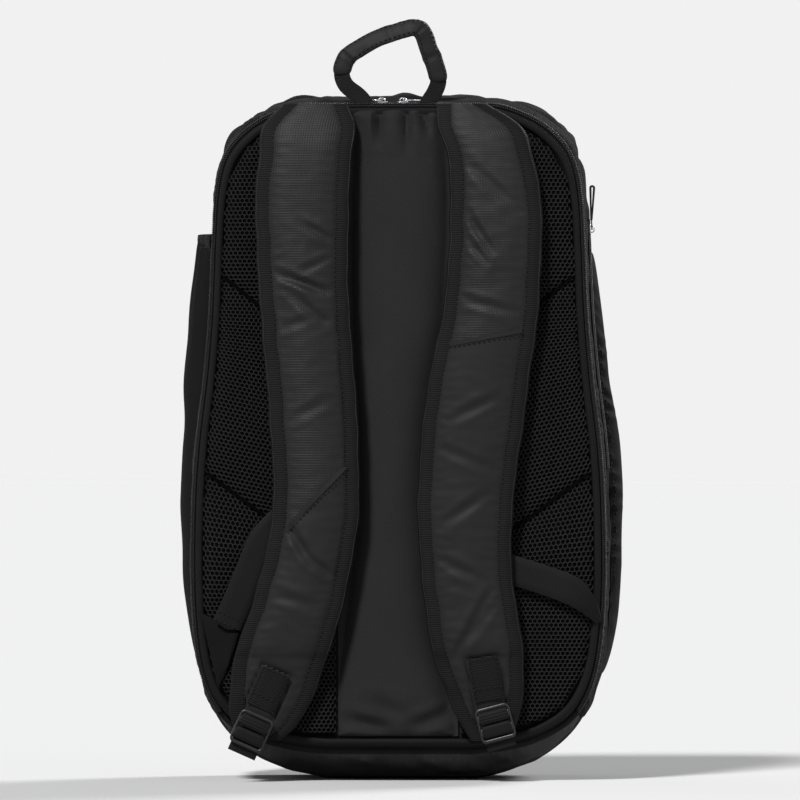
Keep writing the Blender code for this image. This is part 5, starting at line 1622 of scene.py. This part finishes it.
def puffed(height, edge_height, roll, crown_power=2.4, folds=0.0008, seed=81):
    """Thickness of a padded panel with rolled edges and a few soft folds."""
    def thick(x, z, row, share):
        edge = np.minimum(np.minimum(share, 1 - share) * 0.24, np.minimum(row, 1 - row) * 0.4)
        rise = rolled(edge, roll)
        crown = (1 - np.abs(2 * share - 1) ** crown_power) * (1 - np.abs(2 * row - 1) ** 3)
        spot = np.stack([x, 0 * x, z], -1)
        lump = wrinkle(spot, 0.055, seed) + 0.5 * wrinkle(spot, 0.02, seed)
        return edge_height + (height - edge_height) * (0.7 * rise + 0.3 * crown) + folds * rise * lump
    return thick


def ruffled(face, depth, size, seed):
    """Face of a padded panel with creases in its cloth, which fade towards its rim."""
    up, across = np.meshgrid(*(np.linspace(0, 1, count) for count in face.shape[:2]), indexing="ij")
    free = rolled(np.minimum(np.minimum(up, 1 - up), np.minimum(across, 1 - across)), 0.2)
    lifted = face.copy()
    lifted[..., 1] += depth * free * crumpled(face * np.array((1.0, 0.0, 1.0)), size, seed)
    return lifted


def panel_half(z):
    """Half width of the front panel and its apron at heights."""
    return half_width(z, MAIN_FRONT_Y)


def front_pad(low, high, half, flat_y, thick, rows, columns):
    """Grids over a padded piece of the front, the same to the left and right."""
    return pillow(low, high, lambda z: -half(z), half, flat_y, 1.0, thick, rows, columns)


def make_front():
    hinge = seam_at(HINGE_SEAM_Z)
    floor = shell(hinge, MAIN_FRONT_Y)[2]
    thick = puffed(0.0045, 0.0014, 0.010)
    apron = front_pad(0.0052, floor - 0.0004, panel_half, PANEL_BACK_Y, thick, 36, 60)
    add("apron_cloth", [sheet(*apron)], ["shell"], "bag", ["front_apron"])
    top = shell(1.0, MAIN_FRONT_Y)[2] - 0.0002
    thick = puffed(PANEL_FACE_Y - PANEL_BACK_Y, 0.0030, 0.016)
    face, back = front_pad(floor + 0.0004, top, panel_half, PANEL_BACK_Y, thick, 120, 80)
    slack = np.full(face.shape[:2], 0.006)
    face = settle("settling_panel", face, rim_of(face), slack, 0.3, 1.0, 0.0035)
    face = ruffled(face, 0.0007, (0.055, 1.0, 0.040), 87)
    add("panel_cloth", [sheet(face, back)], ["ripstop"], "front_panel", ["front_panel"])
    line = np.concatenate([face[6:-9, 8], face[-9, 8:-8], face[6:-9, -8][::-1]])
    sew("front_panel", line + np.array((0.0, 0.0002, 0.0)), (0.0, 1.0, 0.0))
    foot, front = PANEL_FACE_Y + GAP, POCKET_RIM_Y - GAP
    section = ((foot, 0.0), (foot + 0.006, -0.0010), (0.088, -0.0014), (front - 0.004, -0.0004),
               (front, 0.0006), (front, 0.0028), (0.088, 0.0026), (foot, 0.0028))
    rings = np.stack([pocket_ring(y, inset) for y, inset in section], 1)
    rings[:, :5] += (0.0008 * wrinkle(rings[:, :5], 0.03, 83))[..., None] * np.array((1.0, 0.0, 1.0))
    add("pocket_wall", [loft(rings, wrap=True)], ["shell"], "front_panel", ["front_pocket_gusset"])
    ring = pocket_ring(front - 0.0040, -0.0006, 200)
    keep = ring[:, 2] > FRONT_POCKET_LOW_Z + 0.05
    order = np.concatenate([ring[:200][keep[:200]], ring[200:][keep[200:]]])
    run = np.gradient(order, axis=0)
    facing = np.stack([run[:, 2], 0 * run[:, 0], -run[:, 0]], -1)
    facing = unit(facing)
    add_coil("pocket_coil", "front_panel", [(order, facing)])
    thick = puffed(POCKET_FACE_Y - POCKET_RIM_Y, 0.0040, 0.026, 2.0, 0.0012, 85)
    face, back = front_pad(FRONT_POCKET_LOW_Z, FRONT_POCKET_HIGH_Z, rounded_half, POCKET_RIM_Y, thick,
                           90, 80)
    slack = np.full(face.shape[:2], 0.010)
    face = settle("settling_pocket", face, rim_of(face), slack, 0.3, 0.8, 0.0035)
    face = ruffled(face, 0.0009, (0.045, 1.0, 0.030), 88)
    add("pocket_front", [sheet(face, back)], ["ripstop"], "front_pocket_cover", ["front_pocket_cover"])


def slab(bm, outline, low, high):
    """Closed plate over an outline of (X, Y) points, between two heights."""
    rows = [[bm.verts.new((x, y, z)) for x, y in outline] for z in (low, high)]
    bm.faces.new(rows[0][::-1])
    bm.faces.new(rows[1])
    for i in range(len(outline)):
        bm.faces.new((rows[0][i - 1], rows[0][i], rows[1][i], rows[1][i - 1]))


def tear(length_back, length_front, half_back, half_front, count=10):
    """Outline of a zip slider's plate, wider at its front."""
    front = [(length_front - half_front * (1 - math.cos(t)) * 0.6, half_front * math.sin(t))
             for t in np.linspace(-math.pi / 2, math.pi / 2, count)]
    back = [(-length_back + half_back * (1 - math.cos(t)) * 0.6, -half_back * math.sin(t))
            for t in np.linspace(-math.pi / 2, math.pi / 2, count)]
    return front + back


def bar(bm, path, half_wide, half_tall):
    """Closed bar with an eight-sided section along a path in X and Z."""
    path = np.asarray(path, float)
    run = np.gradient(path, axis=0)
    run = unit(run)
    rows = []
    for (x, z), (dx, dz) in zip(path, run):
        ring = []
        for k in range(8):
            turn = 2 * math.pi * (k + 0.5) / 8
            lift = half_tall * math.sin(turn) * 1.08
            ring.append(bm.verts.new((x - dz * lift, half_wide * math.cos(turn) * 1.08, z + dx * lift)))
        rows.append(ring)
    bm.faces.new(rows[0])
    bm.faces.new(rows[-1])
    for one, other in zip(rows, rows[1:]):
        for k in range(8):
            bm.faces.new((one[k - 1], one[k], other[k], other[k - 1]))


def frame_plate(bm, outer, inner, low, high):
    """Closed plate between an outer and an inner outline of the same count of points."""
    loops = [[bm.verts.new((x, y, z)) for x, y in outline] for outline, z in (
        (outer, low), (outer, high), (inner, high), (inner, low))]
    for one, other in zip(loops, loops[1:] + loops[:1]):
        for i in range(len(one)):
            bm.faces.new((one[i - 1], one[i], other[i], other[i - 1]))


def stadium(start, end, half, count=12):
    """Outline with round ends from one length to another."""
    turns = np.linspace(-math.pi / 2, math.pi / 2, count)
    front = [(end - half + half * math.cos(t), half * math.sin(t)) for t in turns]
    back = [(start + half - half * math.cos(t), -half * math.sin(t)) for t in turns]
    return front + back


def drop(start, end, narrow, half, rise, count=12):
    """Outline of a cord loop that widens from its start to a round end, which stands higher."""
    turns = np.linspace(-math.pi / 2, math.pi / 2, count)
    far = [(end - half + half * math.cos(t), rise + half * math.sin(t)) for t in turns]
    return far + [(start, narrow), (start - narrow * 0.6, 0.0), (start, -narrow)]


def add_slider(name, foot, along, up, loop_pull=False):
    """Zip slider with its bridge, and the pull that hangs under the bridge."""
    along, up = Vector(along), Vector(up)
    place = Matrix.Translation(foot) @ Matrix((along, up.cross(along), up)).transposed().to_4x4()
    bm = bmesh.new()
    plate = tear(SLIDER_HALF_LENGTH, SLIDER_HALF_LENGTH, SLIDER_HALF_TAIL, SLIDER_HALF_WIDTH)
    for low, high in SLIDER_PLATES:
        slab(bm, plate, low, high)
    slab(bm, tear(0.0012, 0.0020, 0.0006, 0.0010), 0.0006, 0.0018)
    bar(bm, smooth_curve(SLIDER_ARCH, 4), 0.0009, 0.00045)
    add_solid(f"{name}_zip_body", bm, "metal", f"{name}_slider", [f"{name}_slider"], place, 0.0002)
    bm = bmesh.new()
    low, high = PULL_LEVEL - PULL_HALF_THICK, PULL_LEVEL + PULL_HALF_THICK
    frame_plate(bm, stadium(-0.0006, 0.0076, 0.0031), stadium(0.0005, 0.0064, 0.0021), low, high)
    if loop_pull:
        loop = drop(0.0070, PULL_LENGTH + CORD_LENGTH, 0.0003, 0.0014, 0.0020)
        cord = [(x, PULL_LEVEL + y) for x, y in loop]
        radii = [CORD_RADIUS] * (len(cord) - 3) + [CORD_NECK_RADIUS] * 3
        rail_ring(bm, cord, radii, thick=2 * CORD_RADIUS)
    else:
        frame_plate(bm, stadium(0.0060, PULL_LENGTH, 0.0032),
                    stadium(0.0160, PULL_LENGTH - 0.0014, 0.0014), low, high)
    add_solid(f"{name}_zip_pull", bm, "plastic" if loop_pull else "metal", f"{name}_pull", [f"{name}_pull"],
              place, 0.00025)


def make_sliders():
    right, up = Vector((1, 0, 0)), Vector((0, 0, 1))
    for name in ("racket_left", "racket_right", "main_left", "main_right", "pocket"):
        low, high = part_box(f"{name}_slider")
        foot = (low + high) / 2
        foot.z = low.z
        add_slider(name, foot, -right if name.endswith("left") else right, up)
    ends = [Vector((half_width(z, SIDE_SLIDER_Y), SIDE_SLIDER_Y, z))
            for z in (SIDE_SLIDER_Z - SIDE_SLIDER_RUN, SIDE_SLIDER_Z)]
    along = (ends[1] - ends[0]).normalized()
    out = Vector((0.0, 1.0, 0.0)).cross(along)
    add_slider("side", ends[1] + out * SIDE_SLIDER_STEP, along, out, True)


def make_stitching():
    settings = {"Stitch length": sizes().stitch_length, "Gap": sizes().stitch_gap, "Thread": 0.00048,
                "Material": FINISHES["thread"]}
    for body, lines in SEWN.items():
        name = f"stitches_{body}"
        piece = grow(name, line_mesh(name, lines), bpy.data.node_groups["Sewn stitches"], settings)
        place_piece(piece, body)


def make_stage():
    """Pale floor, soft light and the camera."""
    scene = bpy.context.scene
    scene.view_settings.view_transform = "Standard"
    mesh = bpy.data.meshes.new("floor")
    spots = [(FLOOR_REACH * x, FLOOR_REACH * y, 0) for x, y in ((-1, -1), (1, -1), (1, 1), (-1, 1))]
    mesh.from_pydata(spots, [], [(0, 1, 2, 3)])
    floor = bpy.data.objects.new("floor", mesh)
    scene.collection.objects.link(floor)
    material = bpy.data.materials.new("floor")
    material.use_nodes = True
    shader = material.node_tree.nodes["Principled BSDF"]
    shader.inputs["Base Color"].default_value = (FLOOR_SHADE, FLOOR_SHADE, FLOOR_SHADE, 1.0)
    shader.inputs["Roughness"].default_value = 0.9
    shader.inputs["Specular IOR Level"].default_value = 0.0
    mesh.materials.append(material)
    world = bpy.data.worlds.new("studio")
    scene.world = world
    world.use_nodes = True
    tree = world.node_tree
    shine = tree.nodes["Background"]
    shine.inputs["Color"].default_value = WORLD_COLOUR
    shine.inputs["Strength"].default_value = WORLD_STRENGTH
    pale = (BACKDROP_SHADE, BACKDROP_SHADE, BACKDROP_SHADE, 1.0)
    seen = node(tree, "ShaderNodeBackground", {"Color": pale, "Strength": 1.0})
    rays = tree.nodes.new("ShaderNodeLightPath").outputs
    seen_by = plus(tree, rays["Is Camera Ray"], rays["Is Glossy Ray"])
    seen_by = plus(tree, seen_by, rays["Is Transmission Ray"])
    mix = node(tree, "ShaderNodeMixShader", {0: seen_by, 1: shine.outputs[0], 2: seen.outputs[0]})
    tree.links.new(mix.outputs[0], tree.nodes["World Output"].inputs[0])
    for name, azimuth, height, strength, spread in LIGHTS:
        lamp = bpy.data.lights.new(name, "SUN")
        lamp.energy = strength
        lamp.angle = math.radians(spread)
        thing = bpy.data.objects.new(name, lamp)
        turn, lift = math.radians(azimuth), math.radians(height)
        away = Vector((math.sin(turn) * math.cos(lift), -math.cos(turn) * math.cos(lift), math.sin(lift)))
        thing.rotation_euler = away.to_track_quat("Z", "Y").to_euler()
        scene.collection.objects.link(thing)
    lens = bpy.data.cameras.new("camera")
    lens.sensor_width = 36.0
    lens.lens = CAMERA_LENS
    lens.clip_end = 100.0
    camera = bpy.data.objects.new("camera", lens)
    aside = CAMERA_DISTANCE * math.sin(CAMERA_TURN)
    away = CAMERA_DISTANCE * math.cos(CAMERA_TURN)
    camera.location = (CAMERA_X + aside, HARNESS_Y - away, CAMERA_Z)
    camera.rotation_euler = (math.radians(90), 0.0, CAMERA_TURN)
    scene.collection.objects.link(camera)
    scene.camera = camera


class RacketBagSizes(bpy.types.PropertyGroup):
    """Sizes of the bag's fine detail"""

    hole_pitch: FloatProperty(name="Mesh pitch",
                              description="Distance between the holes of the spacer mesh",
                              default=0.0035, unit="LENGTH", precision=4)
    hole_share: FloatProperty(name="Hole share", description="Width of a mesh hole as a share of its cell",
                              default=0.73, subtype="FACTOR")
    stitch_length: FloatProperty(name="Stitch", description="Length of one stitch",
                                 default=0.0026, unit="LENGTH", precision=4)
    stitch_gap: FloatProperty(name="Stitch gap", description="Gap between two stitches",
                              default=0.0010, unit="LENGTH", precision=4)
    coil_pitch: FloatProperty(name="Coil pitch", description="Distance between two turns of a zip coil",
                              default=0.0015, unit="LENGTH", precision=4)
    binding_width: FloatProperty(name="Strap binding", description="Width of the tape on a strap's edge",
                                 default=0.0115, unit="LENGTH", precision=4)
    crease_depth: FloatProperty(name="Crease depth",
                                description="Depth of a full crease in a strap's cloth",
                                default=0.0018, unit="LENGTH", precision=4)


def colour_property(title, description, value):
    """Colour of one finish, as a setting."""
    return FloatVectorProperty(name=title, description=description, subtype="COLOR", default=value,
                               min=0.0, max=1.0)


class RacketBagColours(bpy.types.PropertyGroup):
    """Colours of the bag's fabrics and hardware"""

    ripstop: colour_property("Ripstop", "Gridded fabric of the upper straps", (0.0142, 0.0137, 0.0142))
    polyester: colour_property("Polyester", "Plain fabric of the lower straps", (0.0158, 0.0154, 0.0158))
    shell: colour_property("Shell", "Fabric of walls, base and pockets", (0.0078, 0.0078, 0.0081))
    # Lighter than the shell: painted bounce light on the underside that faces the floor.
    base: colour_property("Base", "Fabric under the back's lower edge", (0.039, 0.0385, 0.039))
    mesh: colour_property("Mesh", "Threads of the spacer mesh", (0.0164, 0.0164, 0.0169))
    # Near black: the foam's own dark colour, and painted shade in the mesh holes and along the channels.
    foam: colour_property("Foam", "Foam under the mesh", (0.0016, 0.0016, 0.0018))
    spine: colour_property("Spine", "Soft fabric of the spine pad", (0.0192, 0.0187, 0.0187))
    binding: colour_property("Binding", "Edge tapes and zip tapes", (0.0058, 0.0058, 0.0060))
    webbing: colour_property("Webbing", "Straps of webbing", (0.0060, 0.0060, 0.0062))
    handle: colour_property("Handle", "Cover of the handle", (0.0108, 0.0106, 0.0108))
    lining: colour_property("Lining", "Fabric inside the bag", (0.030, 0.030, 0.033))
    plastic: colour_property("Plastic", "Ladder locks and zip coils", (0.0105, 0.0105, 0.011))
    metal: colour_property("Metal", "Zip sliders and pulls", (0.50, 0.50, 0.52))
    thread: colour_property("Thread", "Sewing thread", (0.005, 0.005, 0.0053))


class RACKET_BAG_OT_finishes(bpy.types.Operator):
    """Make the materials, and the trees for stitches, zip coils and mesh"""

    bl_idname = "racket_bag.finishes"
    bl_label = "Finishes and trees"

    def execute(self, context):
        make_finishes()
        stitch_tree()
        coil_tree()
        net_tree()
        return {"FINISHED"}


class RACKET_BAG_OT_back_panel(bpy.types.Operator):
    """Make the board, edge binding, mesh pads and spine pad"""

    bl_idname = "racket_bag.back_panel"
    bl_label = "Back panel"

    def execute(self, context):
        make_back_panel()
        return {"FINISHED"}


class RACKET_BAG_OT_racket_compartment(bpy.types.Operator):
    """Make the racket compartment's walls, flap and zip"""

    bl_idname = "racket_bag.racket_compartment"
    bl_label = "Racket compartment"

    def execute(self, context):
        make_racket_compartment()
        return {"FINISHED"}


class RACKET_BAG_OT_main_compartment(bpy.types.Operator):
    """Make the main compartment's base, walls and zip"""

    bl_idname = "racket_bag.main_compartment"
    bl_label = "Main compartment"

    def execute(self, context):
        make_main_compartment()
        return {"FINISHED"}


class RACKET_BAG_OT_inside(bpy.types.Operator):
    """Make the padded divider and the laptop pocket"""

    bl_idname = "racket_bag.inside"
    bl_label = "Divider and laptop pocket"

    def execute(self, context):
        make_inside()
        return {"FINISHED"}


class RACKET_BAG_OT_side_pockets(bpy.types.Operator):
    """Make the side pockets and the side zip"""

    bl_idname = "racket_bag.side_pockets"
    bl_label = "Side pockets"

    def execute(self, context):
        make_side_pockets()
        return {"FINISHED"}


class RACKET_BAG_OT_front(bpy.types.Operator):
    """Make the apron, front panel and front pocket"""

    bl_idname = "racket_bag.front"
    bl_label = "Front panel and pocket"

    def execute(self, context):
        make_front()
        return {"FINISHED"}


class RACKET_BAG_OT_straps(bpy.types.Operator):
    """Make the padded straps and their bindings"""

    bl_idname = "racket_bag.straps"
    bl_label = "Shoulder straps"

    def execute(self, context):
        make_straps()
        return {"FINISHED"}


class RACKET_BAG_OT_adjusters(bpy.types.Operator):
    """Make the tabs, ladder locks, webbing and wings"""

    bl_idname = "racket_bag.adjusters"
    bl_label = "Ladder locks and webbing"

    def execute(self, context):
        make_adjusters()
        return {"FINISHED"}


class RACKET_BAG_OT_handle(bpy.types.Operator):
    """Make the haul handle and its sleeve"""

    bl_idname = "racket_bag.handle"
    bl_label = "Haul handle"

    def execute(self, context):
        make_handle()
        return {"FINISHED"}


class RACKET_BAG_OT_sliders(bpy.types.Operator):
    """Make the zip sliders and their pulls"""

    bl_idname = "racket_bag.sliders"
    bl_label = "Zip sliders and pulls"

    def execute(self, context):
        make_sliders()
        return {"FINISHED"}


class RACKET_BAG_OT_stitching(bpy.types.Operator):
    """Sew the stitches of every body"""

    bl_idname = "racket_bag.stitching"
    bl_label = "Stitching"

    def execute(self, context):
        make_stitching()
        return {"FINISHED"}


class RACKET_BAG_OT_stage(bpy.types.Operator):
    """Set up the floor, light and camera"""

    bl_idname = "racket_bag.stage"
    bl_label = "Floor, light and camera"

    def execute(self, context):
        make_stage()
        return {"FINISHED"}


OPERATORS = (
    RACKET_BAG_OT_finishes,
    RACKET_BAG_OT_back_panel,
    RACKET_BAG_OT_racket_compartment,
    RACKET_BAG_OT_main_compartment,
    RACKET_BAG_OT_inside,
    RACKET_BAG_OT_side_pockets,
    RACKET_BAG_OT_front,
    RACKET_BAG_OT_straps,
    RACKET_BAG_OT_adjusters,
    RACKET_BAG_OT_handle,
    RACKET_BAG_OT_sliders,
    RACKET_BAG_OT_stitching,
    RACKET_BAG_OT_stage,
)


class RACKET_BAG_PT_looks(bpy.types.Panel):
    """Steps and settings of the racket backpack's looks"""

    bl_idname = "RACKET_BAG_PT_looks"
    bl_label = "Racket backpack"
    bl_space_type = "VIEW_3D"
    bl_region_type = "UI"
    bl_category = "Racket backpack"

    def draw(self, context):
        for settings in (context.scene.racket_bag_sizes, context.scene.racket_bag_colours):
            box = self.layout.box()
            for key in settings.__annotations__:
                box.prop(settings, key)
        for operator in OPERATORS:
            self.layout.operator(operator.bl_idname)


CLASSES = [RacketBagSizes, RacketBagColours, *OPERATORS, RACKET_BAG_PT_looks]


def register():
    """Register the classes and the scene's settings."""
    for made in CLASSES:
        bpy.utils.register_class(made)
    bpy.types.Scene.racket_bag_sizes = PointerProperty(type=RacketBagSizes)
    bpy.types.Scene.racket_bag_colours = PointerProperty(type=RacketBagColours)


def unregister():
    """Take the settings and the classes away again."""
    del bpy.types.Scene.racket_bag_sizes
    del bpy.types.Scene.racket_bag_colours
    for made in reversed(CLASSES):
        bpy.utils.unregister_class(made)


def main():
    """Make every piece and the stage."""
    register()
    bpy.ops.racket_bag.finishes()
    bpy.ops.racket_bag.back_panel()
    bpy.ops.racket_bag.racket_compartment()
    bpy.ops.racket_bag.main_compartment()
    bpy.ops.racket_bag.inside()
    bpy.ops.racket_bag.side_pockets()
    bpy.ops.racket_bag.front()
    bpy.ops.racket_bag.straps()
    bpy.ops.racket_bag.adjusters()
    bpy.ops.racket_bag.handle()
    bpy.ops.racket_bag.sliders()
    bpy.ops.racket_bag.stitching()
    bpy.ops.racket_bag.stage()


if __name__ == "__main__":
    main()
